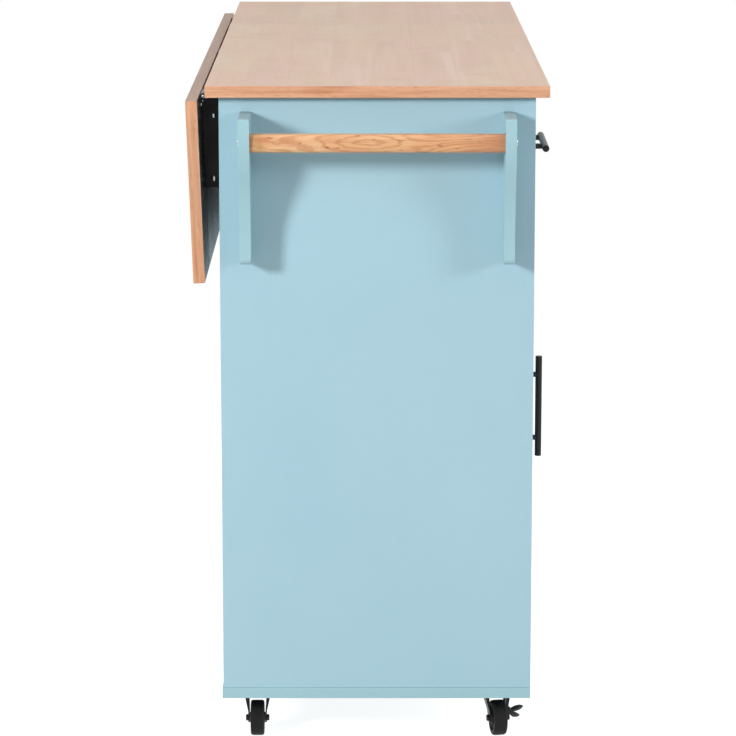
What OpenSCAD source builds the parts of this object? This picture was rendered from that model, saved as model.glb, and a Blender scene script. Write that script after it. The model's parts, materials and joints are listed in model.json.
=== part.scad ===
// Rolling kitchen island with a drop leaf at the rear, a towel bar on the left end,
// two drawers over two doors and an open middle bay at the front, and four casters.
// X runs along the top (left end -X), the front faces -Y, +Z is up.
// The origin is on the floor, under the centre of the whole outline.

/* [Tabletop] */
// Length of the tabletop
top_l = 1280; // [1100:10:1400]
// Depth of the tabletop, without the leaf
top_d = 466; // [420:2:560]
// Thickness of the tabletop and of the leaf
top_t = 16; // [12:1:25]
// How far the tabletop stands out past the body on every side
overhang = 18; // [17:1:30]

/* [Body] */
// Height from the underside of the base board to the underside of the tabletop
body_h = 847; // [800:1:950]
// Thickness of the panels, shelves, fronts and brackets
board_t = 15; // [15:1:18]
// How far the base board stands out past the side panels and the back
base_proud = 1.5; // [0:0.5:3]
// Thickness of the back panel
back_t = 6; // [3:1:9]
// Depth of the flat front rail under the tabletop
front_rail_d = 60; // [50:5:90]
// Height of the rear rail behind the back panel
rear_rail_h = 150; // [140:5:200]
// Clear height of the drawer openings
drawer_opening_h = 176; // [160:2:200]

/* [Shelves] */
// Height of the shelves' undersides above the base board
shelf_z = 300; // [150:5:450]
// Distance from the body's front face to the shelves
shelf_setback = 35; // [30:1:60]
// Diameter of a shelf pin
pin_d = 5; // [4:0.5:6]
// Length of a shelf pin
pin_l = 14; // [10:1:14]
// Distance from a shelf's front and back edges to its pins
pin_inset = 50; // [30:5:80]

/* [Drawers] */
// Gap round an inset drawer front
drawer_gap = 2; // [1:0.5:4]
// Thickness of the drawer box's sides and back
box_t = 12; // [10:1:14]
// Height of the drawer box
box_h = 120; // [80:5:130]
// Room between the drawer box and the rear rail
drawer_back_gap = 44; // [24:10:94]
// Height of the drawer box above the bottom of its opening
box_lift = 20; // [10:1:25]
// Thickness of the drawer bottom
bottom_t = 5; // [3:1:6]
// Space for a runner between the drawer box and the cabinet
runner_w = 12.7; // [12:0.1:14]
// Height of the runner's cabinet half
runner_h = 36; // [30:1:45]
// Sheet thickness of the runners
runner_t = 1.2; // [1:0.1:1.5]

/* [Doors] */
// Gap round an inset door
door_gap = 2.5; // [2.5:0.5:4]
// Distance from the door's front face to its pivot
pivot_setback = 6; // [5.5:0.5:6.5]
// Distance from the door's hinged edge to its pivot
pivot_inset = 10; // [8:0.5:14]
// Diameter of a pivot pin
pivot_pin_d = 6; // [4:0.5:6]
// Depth of the sunk panel in the door's face
door_recess = 4; // [2:0.5:4]
// Width of the frame round the sunk panel
door_frame_w = 60; // [50:5:80]

/* [Pulls] */
// Diameter of a pull's bar
pull_bar_d = 10; // [8:1:12]
// Length of a pull's bar
pull_bar_l = 152; // [130:2:160]
// Distance between a pull's posts
pull_post_pitch = 96; // [64:32:96]
// Diameter of a pull's posts
pull_post_d = 8; // [7:1:8]
// Distance from the face to the axis of a pull's bar
pull_reach = 27; // [24:1:35]
// Distance from a door's free edge to its pull
door_pull_inset = 33; // [30:1:45]
// Distance from a door's top edge to the middle of its pull
door_pull_drop = 299; // [120:1:330]

/* [Towel rack] */
// Distance from the side panel to the brackets' front edge at the top
rack_reach = 85; // [80:1:110]
// Distance from the side panel to the brackets' front edge at the bottom
rack_foot = 48; // [35:1:60]
// Height of the brackets
rack_h = 203; // [180:1:240]
// Drop from the underside of the tabletop to the brackets
rack_drop = 20.5; // [10:0.5:60]
// Distance from the side panel's edges to the brackets
rack_inset = 29; // [20:1:60]
// Thickness of the towel bar, front to back
bar_w = 20; // [18:1:24]
// Height of the towel bar
bar_h = 25; // [22:1:30]
// Radius of the towel bar's long edges
bar_round = 7; // [3:0.5:9]
// Distance from the brackets' front edge to the towel bar
bar_setback = 5; // [3:1:10]
// Drop from the brackets' top to the middle of the towel bar
bar_drop = 34; // [25:1:45]

/* [Drop leaf] */
// Width of the leaf, from hinge edge to free edge
leaf_w = 250; // [220:2:300]
// Gap between the tabletop and the raised leaf
leaf_gap = 3; // [2:0.5:4]
// How far the hanging leaf leans in towards the body, in degrees
leaf_lean = 2; // [0:0.5:2.5]
// Drop from the underside of the tabletop to the hinge axis
hinge_drop = 5.3; // [5:0.1:7]
// Distance from the tabletop's rear edge to the hinge axis
hinge_back = 5; // [5:0.5:6]
// Length of a leaf hinge
hinge_l = 60; // [50:2:68]
// Diameter of a hinge knuckle
knuckle_d = 9; // [8:0.5:9]
// Diameter of a hinge pin
hinge_pin_d = 4; // [3:0.5:5]
// Distance from the ends of the top to the middle of the outer hinges
hinge_inset = 92; // [60:1:95]

/* [Folding braces] */
// Distance from the ends of the top to the braces
brace_inset = 130; // [126:1:300]
// Sheet thickness of the brace legs and links
brace_t = 2; // [1.5:0.5:2]
// How far the fixed leg stands out behind the body
fixed_leg_w = 20; // [20:0.5:21]
// Length of the fixed leg
fixed_leg_l = 133; // [130:1:140]
// Distance from the body's back to the lower pivot
lower_pivot_y = 12; // [11.5:0.5:12.5]
// Drop from the underside of the tabletop to the lower pivot
lower_pivot_drop = 127.4; // [122:0.2:129]
// Distance from the hinge axis to the upper pivot, along the leaf
upper_pivot_u = 124.5; // [118:0.5:126]
// Distance from the leaf's underside to the upper pivot
upper_pivot_v = 12; // [11.5:0.5:12.5]
// Width of a link
link_w = 12; // [10:1:13]
// Diameter of a pivot rivet's shank
rivet_d = 5; // [4:0.5:6]
// Diameter of a rivet's head
rivet_head_d = 7; // [6.5:0.5:8]

/* [Casters] */
// Height of a caster, from the floor to the base board
caster_h = 67; // [66:1:75]
// Diameter of a wheel
wheel_d = 50; // [48:1:52]
// Width of a wheel
wheel_w = 19; // [16:1:20]
// Distance from the wheel's axle to the swivel axis
caster_trail = 16; // [15:1:22]
// Distance from the body's ends to the swivel axes
caster_inset_x = 60; // [45:1:90]
// Distance from the body's front and back to the swivel axes
caster_inset_y = 46; // [40:1:90]
// How far the front left caster is turned, in degrees
front_left_turn = 10; // [-30:1:30]
// How far the front right caster is turned, in degrees
front_right_turn = 6; // [-30:1:30]
// How far the rear right caster is turned, in degrees
rear_right_turn = -7; // [-30:1:30]
// Diameter of an axle
axle_d = 6; // [5:0.5:8]

/* [Fits] */
// Running clearance of a bore over its pin, on the radius
running_fit = 0.05; // [0.03:0.01:0.08]
// Gap between parts that slide or turn past each other
side_gap = 0.4; // [0.3:0.1:0.5]
// Gap round a screw, pin or bush in its hole, on the radius
hole_gap = 0.05; // [0.03:0.01:0.08]

/* [Hidden] */
$fn = 48;
over = 1;                                    // how far a cut runs past a face
paint = "#aecfdb";
wood = "#d9ab80";
black = "#1c1c1e";
silver = "#b9bcc0";

// Plan of the whole: the outline runs from the towel brackets to the top's right end, and from
// the pulls to the outer face of the hanging leaf
fold_angle = 90 + leaf_lean;
rack_beyond = rack_reach - overhang;
pull_out = pull_reach + pull_bar_d / 2;
pull_beyond = pull_out - overhang;
leaf_edge_u = leaf_gap - hinge_back;
leaf_reach = hinge_back + leaf_edge_u * cos(fold_angle) + (hinge_drop + top_t) * sin(fold_angle);
top_x0 = (rack_beyond - top_l) / 2;
top_x1 = top_x0 + top_l;
top_y0 = (pull_beyond - leaf_reach - top_d) / 2;
top_y1 = top_y0 + top_d;
body_x0 = top_x0 + overhang;
body_x1 = top_x1 - overhang;
body_y0 = top_y0 + overhang;
body_y1 = top_y1 - overhang;
mid_x = (body_x0 + body_x1) / 2;

// Heights
base_z = caster_h;
floor_z = base_z + board_t;                  // top of the base board
under_z = base_z + body_h;                   // underside of the tabletop
front_rail_z = under_z - board_t;
divider_top_z = front_rail_z - drawer_opening_h;
divider_z = divider_top_z - board_t;

// Inner space
in_x0 = body_x0 + board_t;
in_x1 = body_x1 - board_t;
in_y1 = body_y1 - back_t;                    // front of the back panel
rail_y = in_y1 - board_t;                    // front of the rear rail
bay_w = (in_x1 - in_x0 - 2 * board_t) / 3;
bay_x = [for (i = [0:2]) in_x0 + i * (bay_w + board_t)];
drawer_w = (in_x1 - in_x0 - board_t) / 2;
drawer_x = [in_x0, in_x0 + drawer_w + board_t];
box_l = rail_y - body_y0 - board_t - drawer_back_gap;
runner_l = box_l;
box_z = divider_top_z + box_lift;
runner_mid_z = box_z + box_h / 2;
drawer_mid_z = divider_top_z + drawer_opening_h / 2;

// Screws
screw_d = 3;
screw_head_d = 6;
screw_head_h = 1.2;
screw_bite = 11;
rack_screw_d = 4;
rack_screw_head_d = 8;
rack_screw_head_h = 2.5;
rack_screw_bite = 22;
pull_screw_d = 4;
pull_screw_head_d = 8;
pull_screw_head_h = 2;
pull_screw_bite = 10;

// Drawers: the bottom sits in grooves, and the channels of the runners face each other
groove = 6;
bottom_rise = 10;                            // from the box sides' lower edges to the bottom
bottom_z = box_z + bottom_rise;
runner_in_h = runner_h - 2 * (runner_t + side_gap);
runner_lap = 2;                              // how far a channel reaches past the middle
runner_bed = runner_w / 2 + runner_lap;      // width of each channel

// Doors: values of the left door, which is mirrored for the right one
door_w = bay_w - 2 * door_gap;
door_z = floor_z + door_gap;
door_h = divider_z - floor_z - 2 * door_gap;
pivot_x = bay_x[0] + door_gap + pivot_inset;
pivot_y = body_y0 + pivot_setback;
pivot_pin_l = 12;
pivot_plate_w = 14;
pivot_plate_l = 40;
pivot_plate_t = 2;
bush_d = 8;
bush_l = 14;
bush_flange_d = 10;
bush_land = 0.2;                             // gap between a bush and the pivot plate
bush_flange_t = door_gap - bush_land;
catch_w = 44;
catch_d = 14;
catch_h = 12;
catch_gap = 0.3;
strike_t = 0.8;
catch_inset = 26;                            // from the bay's free side to the catch
catch_x = bay_x[0] + bay_w - catch_w - catch_inset;
catch_y = body_y0 + board_t + strike_t + catch_gap;
door_pull_x = bay_x[0] + bay_w - door_gap - door_pull_inset;
door_pull_z = door_z + door_h - door_pull_drop;
door_posts = [
    for (s = [-1, 1]) [door_pull_x, body_y0, door_pull_z + s * pull_post_pitch / 2]
];

// Towel rack: the brackets' front edge steps in below the bar, in an S of two quarter rounds
bracket_ys = [body_y0 + rack_inset, body_y1 - rack_inset - board_t];
bracket_z = under_z - rack_drop;             // top of the brackets
bracket_top_r = 6;
bracket_foot_r = 8;
taper_drop = 25;                             // from the bracket's top to where it starts to narrow
taper_foot_l = 18;                           // straight end of its front edge below the taper
taper_l = rack_h - taper_drop - taper_foot_l;
taper_d = rack_reach - rack_foot;
taper_turn = 2 * atan(taper_d / taper_l);    // how far its front edge turns, and turns back
taper_upper_r = 120;
taper_lower_r = taper_l / sin(taper_turn) - taper_upper_r;
rack_screw_drop = 60;                        // from the bracket's top to its upper screw
rack_screw_pitch = 110;
rack_screw_drops = [rack_screw_drop, rack_screw_drop + rack_screw_pitch];
bar_x = body_x0 - rack_reach + bar_setback;  // outer face of the towel bar
bar_mid = [bar_x + bar_w / 2, bracket_z - bar_drop];
bar_y0 = bracket_ys[0] + board_t;
bar_y1 = bracket_ys[1];
bar_screw_head_h = 1.5;

// Leaf hinge axis, and the raised leaf's frame: u along the leaf, v up from the axis
hinge_y = top_y1 + hinge_back;
hinge_z = under_z - hinge_drop;
hinge_xs = [top_x0 + hinge_inset, (top_x0 + top_x1) / 2, top_x1 - hinge_inset];
hinge_plate_t = 1.5;
hinge_plate_w = 16;
hinge_screw_inset = 8;                       // from a hinge plate's ends to its screws
hinge_screw_dx = hinge_l / 2 - hinge_screw_inset;
leaf_plate_u = 3;                            // from the hinge axis to the leaf's plate
knuckle_gap = 0.3;
knuckle_share = 0.4;                         // share of a hinge that the leaf's knuckle takes
knuckle_mid = hinge_l * knuckle_share;
knuckle_end = (hinge_l - knuckle_mid) / 2 - knuckle_gap;
arm_t = 1.3;
arm_lap = 1;                                 // how far a knuckle's arm runs over its plate
pin_over = 1;                                // how far a hinge pin stands past its knuckles

// Folding braces, seen in the Y-Z plane: pivot_b is the lower pivot, on the body, pivot_c the upper
// pivot, on the leaf, and knee joins the two links. The knee hangs straight above pivot_b, and
// the links are as long together as the way from pivot_b to pivot_c when the leaf is up.
brace_xs = [top_x0 + brace_inset, top_x1 - brace_inset];
pivot_b = [body_y1 + lower_pivot_y, under_z - lower_pivot_drop];
pivot_c_up = [hinge_y + upper_pivot_u, under_z - upper_pivot_v];
pivot_c = [
    hinge_y + upper_pivot_u * cos(fold_angle) + (hinge_drop - upper_pivot_v) * sin(fold_angle),
    hinge_z - upper_pivot_u * sin(fold_angle) + (hinge_drop - upper_pivot_v) * cos(fold_angle)
];
brace_l = norm(pivot_c_up - pivot_b);
pivot_step = pivot_c - pivot_b;
lower_link_l = (brace_l ^ 2 - norm(pivot_step) ^ 2) / (2 * (brace_l - pivot_step[1]));
knee = pivot_b + [0, lower_link_l];
link_gap = 0.3;
rivet_land = 0.3;                            // how far a rivet stands past its link, and its gap
lower_link_x = brace_t + link_gap;
upper_link_x = lower_link_x + brace_t + 3 * rivet_land;
leaf_leg_x = upper_link_x + brace_t + link_gap;
leg_flange_w = 16;
leg_top_gap = 2;                             // from the tabletop's underside to the fixed legs
leg_corner_r = 8;
fixed_leg_z = under_z - leg_top_gap - fixed_leg_l;
leaf_leg_start = 12;                         // from the hinge axis to the leaf leg
leaf_leg_end = upper_pivot_u + link_w;
rivet_head_h = 1.4;

// Casters
caster_xs = [body_x0 + caster_inset_x, body_x1 - caster_inset_x];
caster_ys = [body_y0 + caster_inset_y, body_y1 - caster_inset_y];
plate_w = 42;
plate_t = 2;
plate_corner_r = 5;
plate_screw_inset = 5;
kingpin_d = 10;
kingpin_head_d = 15;
kingpin_head_h = 2;
crown_t = 5;
race_t = 1.6;                                // height of the ball race under the plate
race_d = 30;
race_gap = 0.6;                              // room for the balls between race and crown
crown_z = caster_h - plate_t - race_t - race_gap - crown_t;
crown_d = 36;
fork_t = 2;
fork_room = 1.6;                             // between the tread and a fork leg at the axle
fork_in = wheel_w / 2 + fork_room;           // inner face of a fork leg at the axle
fork_top_in = crown_d / 2 - fork_t;          // inner face of a fork leg at the crown
fork_top_w = 24;                             // width of a fork leg at the crown
fork_eye_d = 14;                             // width of a fork leg round the axle
fork_bend_z = 34;                            // above here a fork leg leans out to the crown
fork_skirt = 2;                              // upright part of a leg below the crown
fork_shoulder = 4;                           // full-width part of a leg below the crown
wheel_z = wheel_d / 2;
nut_d = 9;
nut_h = 3;
pedal_pin_d = 3;
pedal_out = 4.5;                             // from a fork leg's outer face to the pedal axis
pedal_y = fork_in + fork_t + pedal_out;      // pedal axis, out from the wheel's middle
pedal_z = 33;
pedal_w = 12;
pedal_ahead = 4;                             // from above the axle to the pedal's middle
pedal_x = pedal_ahead - caster_trail - pedal_w / 2;
pedal_t = 3;                                 // thickness of the pedal's paddles
pedal_roll = 0.8;                            // how much thicker their rolled tips are
pedal_boss_d = 7;
pedal_upper = [[-4, 3.4], [-17.8, 8.6]];     // bend and tip of the paddle that frees the wheel
pedal_lower = [[-4, -4], [-12.6, -5]];       // bend and tip of the paddle that locks it
pedal_pin_over = 0.8;
ear_t = 2;
ear_d = 7;
hub_d = 16;
tread_r = 3;                                 // rounding of the tread's edges
rim_w = 6;                                   // tread and rim outside the wheel's sunk faces
face_sink = 2.5;

// ---------- helpers ----------

// A box from a low corner and a size
module block(at, size) {
    translate(at) cube(size);
}

// A cylinder along X, Y or Z from a start point
module rod_x(at, d, l) {
    translate(at) rotate([0, 90, 0]) cylinder(d = d, h = l);
}

module rod_y(at, d, l) {
    translate(at) rotate([-90, 0, 0]) cylinder(d = d, h = l);
}

module rod_z(at, d, l) {
    translate(at) cylinder(d = d, h = l);
}

// A Y-Z outline given a thickness along X: its first axis is Y and its second is Z
module slab_x(x, t) {
    translate([x, 0, 0]) rotate([90, 0, 90]) linear_extrude(t) children();
}

// A flat link outline between two points, with round ends
module link_outline(a, b, w) {
    reach = b - a;
    translate(a) circle(d = w);
    translate(b) circle(d = w);
    translate(a) rotate(atan2(reach[1], reach[0])) translate([0, -w / 2]) square([norm(reach), w]);
}

// A rectangle with round corners
module round_rect(size, r) {
    translate([0, r]) square([size[0], size[1] - 2 * r]);
    translate([r, 0]) square([size[0] - 2 * r, size[1]]);
    for (x = [r, size[0] - r], y = [r, size[1] - r]) translate([x, y]) circle(r = r);
}

// Turns what is drawn for the raised leaf down to where the leaf hangs
module hang() {
    translate([0, hinge_y, hinge_z])
        rotate([-fold_angle, 0, 0])
            translate([0, -hinge_y, -hinge_z])
                children();
}

// Mirrors the right-hand copy of a brace, whose planes count inwards from the outer web
module brace_side(i) {
    translate([brace_xs[i], 0, 0]) mirror([i, 0, 0]) children();
}

// A screw that points up from z, its head below z, and its hole
module screw_up(at) {
    rod_z(at - [0, 0, screw_head_h], screw_head_d, screw_head_h);
    rod_z(at, screw_d, screw_bite);
}

module screw_up_hole(at) {
    rod_z(at - [0, 0, over], screw_d + 2 * hole_gap, screw_bite + over + hole_gap);
}

// ---------- screw and pin places ----------

// Screws of the hinge plates under the top, and on the raised leaf
hinge_screws = [
    for (x = hinge_xs, s = [-1, 1])
        [x + s * hinge_screw_dx, top_y1 - hinge_plate_w / 2, under_z - hinge_plate_t]
];
leaf_hinge_screws = [
    for (x = hinge_xs, s = [-1, 1])
        [x + s * hinge_screw_dx, hinge_y + leaf_plate_u + hinge_plate_w / 2, under_z - hinge_plate_t]
];
// Screws through the brace legs' flanges, on the brace's own x
flange_screw_inset = 5;
flange_screw_x = leg_flange_w - flange_screw_inset;
leg_screw_pitch = 80;
fixed_screw_drop = 25;                       // from the tabletop's underside to the upper screw
fixed_screw_drops = [fixed_screw_drop, fixed_screw_drop + leg_screw_pitch];
leaf_leg_screw_inset = 18;                   // from the leaf leg's end to its first screw
leaf_leg_screw_u = leaf_leg_start + leaf_leg_screw_inset;
leaf_leg_screw_us = [leaf_leg_screw_u, leaf_leg_screw_u + leg_screw_pitch];
plate_screw_dx = plate_w / 2 - plate_screw_inset;
caster_screws = [
    for (x = caster_xs, y = caster_ys, sx = [-1, 1], sy = [-1, 1])
        [x + sx * plate_screw_dx, y + sy * plate_screw_dx, base_z - plate_t]
];

shelf_y0 = body_y0 + shelf_setback;
shelf_under_z = floor_z + shelf_z;
pin_ys = [shelf_y0 + pin_inset, in_y1 - pin_inset];
pin_z = shelf_under_z - pin_d / 2;

// Holes for the shelf pins of one bay, to cut from the boards on both sides
module pin_holes(bay) {
    for (y = pin_ys) {
        hole_d = pin_d + 2 * hole_gap;
        rod_x([bay_x[bay] - pin_l / 2 - hole_gap, y, pin_z], hole_d, pin_l / 2 + over);
        rod_x([bay_x[bay] + bay_w - over, y, pin_z], hole_d, pin_l / 2 + over + hole_gap);
    }
}

// ---------- cabinet ----------

module tabletop() {
    color(wood) difference() {
        block([top_x0, top_y0, under_z], [top_l, top_d, top_t]);
        for (p = hinge_screws) screw_up_hole(p);
    }
}

// Screws that hold the towel brackets from inside the side panel
module rack_screw_shapes(gap) {
    for (y = bracket_ys, drop = rack_screw_drops) {
        at = [in_x0, y + board_t / 2, bracket_z - drop];
        rod_x(at - [rack_screw_head_h + gap, 0, 0], rack_screw_head_d + 2 * gap, rack_screw_head_h + gap);
        rod_x(
            at - [board_t + rack_screw_bite + gap, 0, 0],
            rack_screw_d + 2 * gap,
            board_t + rack_screw_bite + gap
        );
    }
}

module side_panel(x) {
    block([x, body_y0, floor_z], [board_t, body_y1 - body_y0, under_z - floor_z]);
}

module left_side_panel() {
    color(paint) difference() {
        side_panel(body_x0);
        pin_holes(0);
        rack_screw_shapes(hole_gap);
    }
}

module right_side_panel() {
    color(paint) difference() {
        side_panel(in_x1);
        pin_holes(2);
    }
}

module base_board() {
    color(paint) difference() {
        block(
            [body_x0 - base_proud, body_y0, base_z],
            [body_x1 - body_x0 + 2 * base_proud, body_y1 - body_y0 + base_proud, board_t]
        );
        for (p = caster_screws) screw_up_hole(p);
        for (d = [0, 1]) pivot_plate_shape(d, 0, 0);
    }
}

module back_panel() {
    color(paint) difference() {
        block([in_x0, in_y1, floor_z], [in_x1 - in_x0, back_t, under_z - floor_z]);
        fixed_leg_screw_shapes(hole_gap);
    }
}

module front_rail() {
    color(paint)
        block([in_x0, body_y0, front_rail_z], [in_x1 - in_x0, front_rail_d, board_t]);
}

module rear_rail() {
    color(paint) difference() {
        block([in_x0, rail_y, under_z - rear_rail_h], [in_x1 - in_x0, board_t, rear_rail_h]);
        fixed_leg_screw_shapes(hole_gap);
    }
}

module divider_shelf() {
    color(paint) difference() {
        block([in_x0, body_y0, divider_z], [in_x1 - in_x0, in_y1 - body_y0, board_t]);
        for (d = [0, 1]) pivot_plate_shape(d, 1, 0);
    }
}

module drawer_partition() {
    partition_x = in_x0 + drawer_w;
    color(paint) {
        block(
            [partition_x, body_y0, divider_top_z],
            [board_t, rail_y - body_y0, drawer_opening_h]
        );
        block(
            [partition_x, body_y0 + front_rail_d, divider_top_z],
            [board_t, rail_y - body_y0 - front_rail_d, under_z - divider_top_z]
        );
    }
}

module bay_partitions() {
    color(paint) for (i = [0, 1]) difference() {
        block(
            [bay_x[i] + bay_w, body_y0, floor_z],
            [board_t, in_y1 - body_y0, divider_z - floor_z]
        );
        pin_holes(i);
        pin_holes(i + 1);
    }
}

module bay_shelves() {
    color(paint) for (x = bay_x)
        block(
            [x + side_gap, shelf_y0, shelf_under_z + hole_gap],
            [bay_w - 2 * side_gap, in_y1 - shelf_y0 - side_gap, board_t]
        );
}

module shelf_pins() {
    color(silver) for (x = bay_x, y = pin_ys) {
        rod_x([x - pin_l / 2, y, pin_z], pin_d, pin_l);
        rod_x([x + bay_w - pin_l / 2, y, pin_z], pin_d, pin_l);
    }
}

// ---------- towel rack ----------

// Bracket outline: x is the distance from the side panel, y the height below the top
module bracket_outline() {
    bend_drop = taper_drop + taper_upper_r * sin(taper_turn);
    foot_top = rack_h - taper_foot_l;
    translate([0, -taper_drop]) square([rack_reach, taper_drop - bracket_top_r]);
    translate([0, -bracket_top_r]) square([rack_reach - bracket_top_r, bracket_top_r]);
    translate([rack_reach - bracket_top_r, -bracket_top_r]) circle(r = bracket_top_r);
    intersection() {
        translate([0, -bend_drop]) square([rack_reach + over, bend_drop - taper_drop]);
        translate([rack_reach - taper_upper_r, -taper_drop]) circle(r = taper_upper_r);
    }
    difference() {
        translate([0, -foot_top]) square([rack_reach, foot_top - bend_drop]);
        translate([rack_foot + taper_lower_r, -foot_top]) circle(r = taper_lower_r);
    }
    translate([0, bracket_foot_r - rack_h]) square([rack_foot, rack_h - bracket_foot_r - bracket_top_r]);
    translate([0, -rack_h]) square([rack_foot - bracket_foot_r, bracket_foot_r]);
    translate([rack_foot - bracket_foot_r, bracket_foot_r - rack_h]) circle(r = bracket_foot_r);
}

// The two screws that hold the bar through the brackets' outer sides
module bar_screw_shapes(gap) {
    shank_d = rack_screw_d + 2 * gap;
    shank_l = board_t + rack_screw_bite + gap;
    rod_y([bar_mid[0], bracket_ys[0], bar_mid[1]], shank_d, shank_l);
    rod_y([bar_mid[0], bar_y1 + board_t - shank_l, bar_mid[1]], shank_d, shank_l);
}

module towel_brackets() {
    color(paint) difference() {
        for (y = bracket_ys)
            translate([body_x0, y + board_t, bracket_z])
                rotate([90, 0, 0])
                    linear_extrude(board_t)
                        mirror([1, 0]) bracket_outline();
        rack_screw_shapes(hole_gap);
        bar_screw_shapes(hole_gap);
    }
}

module towel_bar() {
    color(wood) difference() {
        translate([bar_x, bar_y1, bar_mid[1] - bar_h / 2])
            rotate([90, 0, 0])
                linear_extrude(bar_y1 - bar_y0)
                    round_rect([bar_w, bar_h], bar_round);
        bar_screw_shapes(hole_gap);
    }
}

module towel_rack_screws() {
    head_y = [bracket_ys[0] - bar_screw_head_h, bar_y1 + board_t];
    color(silver) {
        rack_screw_shapes(0);
        bar_screw_shapes(0);
        for (y = head_y) rod_y([bar_mid[0], y, bar_mid[1]], rack_screw_head_d, bar_screw_head_h);
    }
}

// ---------- drop leaf and its hinges ----------

// One knuckle on the hinge axis, with the arm that joins it to its plate on the side s
module knuckle(x, l, s, bore_gap) {
    arm_l = hinge_back + arm_lap;
    difference() {
        union() {
            rod_x([x, hinge_y, hinge_z], knuckle_d, l);
            block(
                [x, hinge_y - (s < 0 ? arm_l : 0), hinge_z + knuckle_d / 2 - arm_t],
                [l, arm_l, arm_t]
            );
        }
        rod_x([x - over, hinge_y, hinge_z], hinge_pin_d + 2 * bore_gap, l + 2 * over);
    }
}

module leaf_hinge_top_plates() {
    plate_y = top_y1 - hinge_plate_w;
    color(silver) difference() {
        for (x = hinge_xs) {
            block(
                [x - hinge_l / 2, plate_y, under_z - hinge_plate_t],
                [hinge_l, hinge_plate_w, hinge_plate_t]
            );
            knuckle(x - hinge_l / 2, knuckle_end, -1, hole_gap);
            knuckle(x + hinge_l / 2 - knuckle_end, knuckle_end, -1, hole_gap);
        }
        for (p = hinge_screws) screw_up_hole(p);
    }
}

module leaf_hinge_leaf_plates() {
    color(silver) hang() difference() {
        for (x = hinge_xs) {
            block(
                [x - hinge_l / 2, hinge_y + leaf_plate_u, under_z - hinge_plate_t],
                [hinge_l, hinge_plate_w, hinge_plate_t]
            );
            knuckle(x - knuckle_mid / 2, knuckle_mid, 1, running_fit);
        }
        for (p = leaf_hinge_screws) screw_up_hole(p);
    }
}

module leaf_hinge_pins() {
    color(silver) for (x = hinge_xs)
        rod_x([x - hinge_l / 2 - pin_over, hinge_y, hinge_z], hinge_pin_d, hinge_l + 2 * pin_over);
}

module drop_leaf() {
    color(wood) hang() difference() {
        block([top_x0, hinge_y + leaf_edge_u, under_z], [top_l, leaf_w, top_t]);
        for (p = leaf_hinge_screws) screw_up_hole(p);
        leaf_leg_screw_holes();
    }
}

// ---------- folding braces ----------

// Places of the screws through the fixed legs' flanges, from the back inwards
module fixed_leg_screw_shapes(gap) {
    for (i = [0, 1], drop = fixed_screw_drops) brace_side(i)
        rod_y(
            [flange_screw_x, body_y1 - screw_bite, under_z - drop],
            screw_d + 2 * gap,
            screw_bite + brace_t
        );
}

module leaf_leg_screw_holes() {
    for (i = [0, 1], u = leaf_leg_screw_us) brace_side(i)
        screw_up_hole([leaf_leg_x + flange_screw_x, hinge_y + u, under_z - brace_t]);
}

// The fixed leg's web, with its lower outer corner rounded
module fixed_web_outline() {
    flat_w = fixed_leg_w - leg_corner_r;
    translate([body_y1, fixed_leg_z]) {
        translate([0, leg_corner_r]) square([fixed_leg_w, fixed_leg_l - leg_corner_r]);
        square([flat_w, leg_corner_r]);
        translate([flat_w, leg_corner_r]) circle(r = leg_corner_r);
    }
}

module brace_fixed_legs() {
    color(black) for (i = [0, 1]) difference() {
        brace_side(i) {
            slab_x(0, brace_t) fixed_web_outline();
            block([0, body_y1, fixed_leg_z], [leg_flange_w, brace_t, fixed_leg_l]);
        }
        brace_side(i) for (p = [pivot_b, knee])
            rod_x([-over, p[0], p[1]], rivet_d + 2 * hole_gap, brace_t + 2 * over);
        fixed_leg_screw_shapes(hole_gap);
    }
}

// The lower pivots, and a stop rivet beside each folded knee
module brace_fixed_rivets() {
    color(silver) for (i = [0, 1]) brace_side(i) {
        for (p = [pivot_b, knee]) rod_x([-rivet_head_h, p[0], p[1]], rivet_head_d, rivet_head_h);
        rod_x([0, pivot_b[0], pivot_b[1]], rivet_d, lower_link_x + brace_t + rivet_land);
        rod_x([0, knee[0], knee[1]], rivet_d, brace_t);
    }
}

// The lower link holds half of the knee's pin, as a separate solid
module lower_link(i) {
    bore_d = rivet_d + 2 * running_fit;
    brace_side(i) {
        color(black) difference() {
            slab_x(lower_link_x, brace_t) link_outline(pivot_b, knee, link_w);
            for (p = [pivot_b, knee]) rod_x([0, p[0], p[1]], bore_d, lower_link_x + brace_t + over);
        }
        color(silver) rod_x([lower_link_x, knee[0], knee[1]], rivet_d, brace_t + rivet_land);
    }
}

module left_lower_link() { lower_link(0); }

module right_lower_link() { lower_link(1); }

module upper_link(i) {
    bore_d = rivet_d + 2 * running_fit;
    color(black) brace_side(i) difference() {
        slab_x(upper_link_x, brace_t) link_outline(pivot_c, knee, link_w);
        for (p = [pivot_c, knee])
            rod_x([upper_link_x - over, p[0], p[1]], bore_d, brace_t + 2 * over);
    }
}

module left_upper_link() { upper_link(0); }

module right_upper_link() { upper_link(1); }

module brace_leaf_legs() {
    web_h = upper_pivot_v + link_w / 2;
    leg_l = leaf_leg_end - leaf_leg_start;
    color(black) hang() for (i = [0, 1]) difference() {
        brace_side(i) {
            block([leaf_leg_x, hinge_y + leaf_leg_start, under_z - web_h], [brace_t, leg_l, web_h]);
            block([leaf_leg_x, hinge_y + leaf_leg_start, under_z - brace_t], [leg_flange_w, leg_l, brace_t]);
        }
        brace_side(i)
            rod_x(
                [leaf_leg_x - over, hinge_y + upper_pivot_u, under_z - upper_pivot_v],
                rivet_d + 2 * hole_gap,
                brace_t + 2 * over
            );
        leaf_leg_screw_holes();
    }
}

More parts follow.
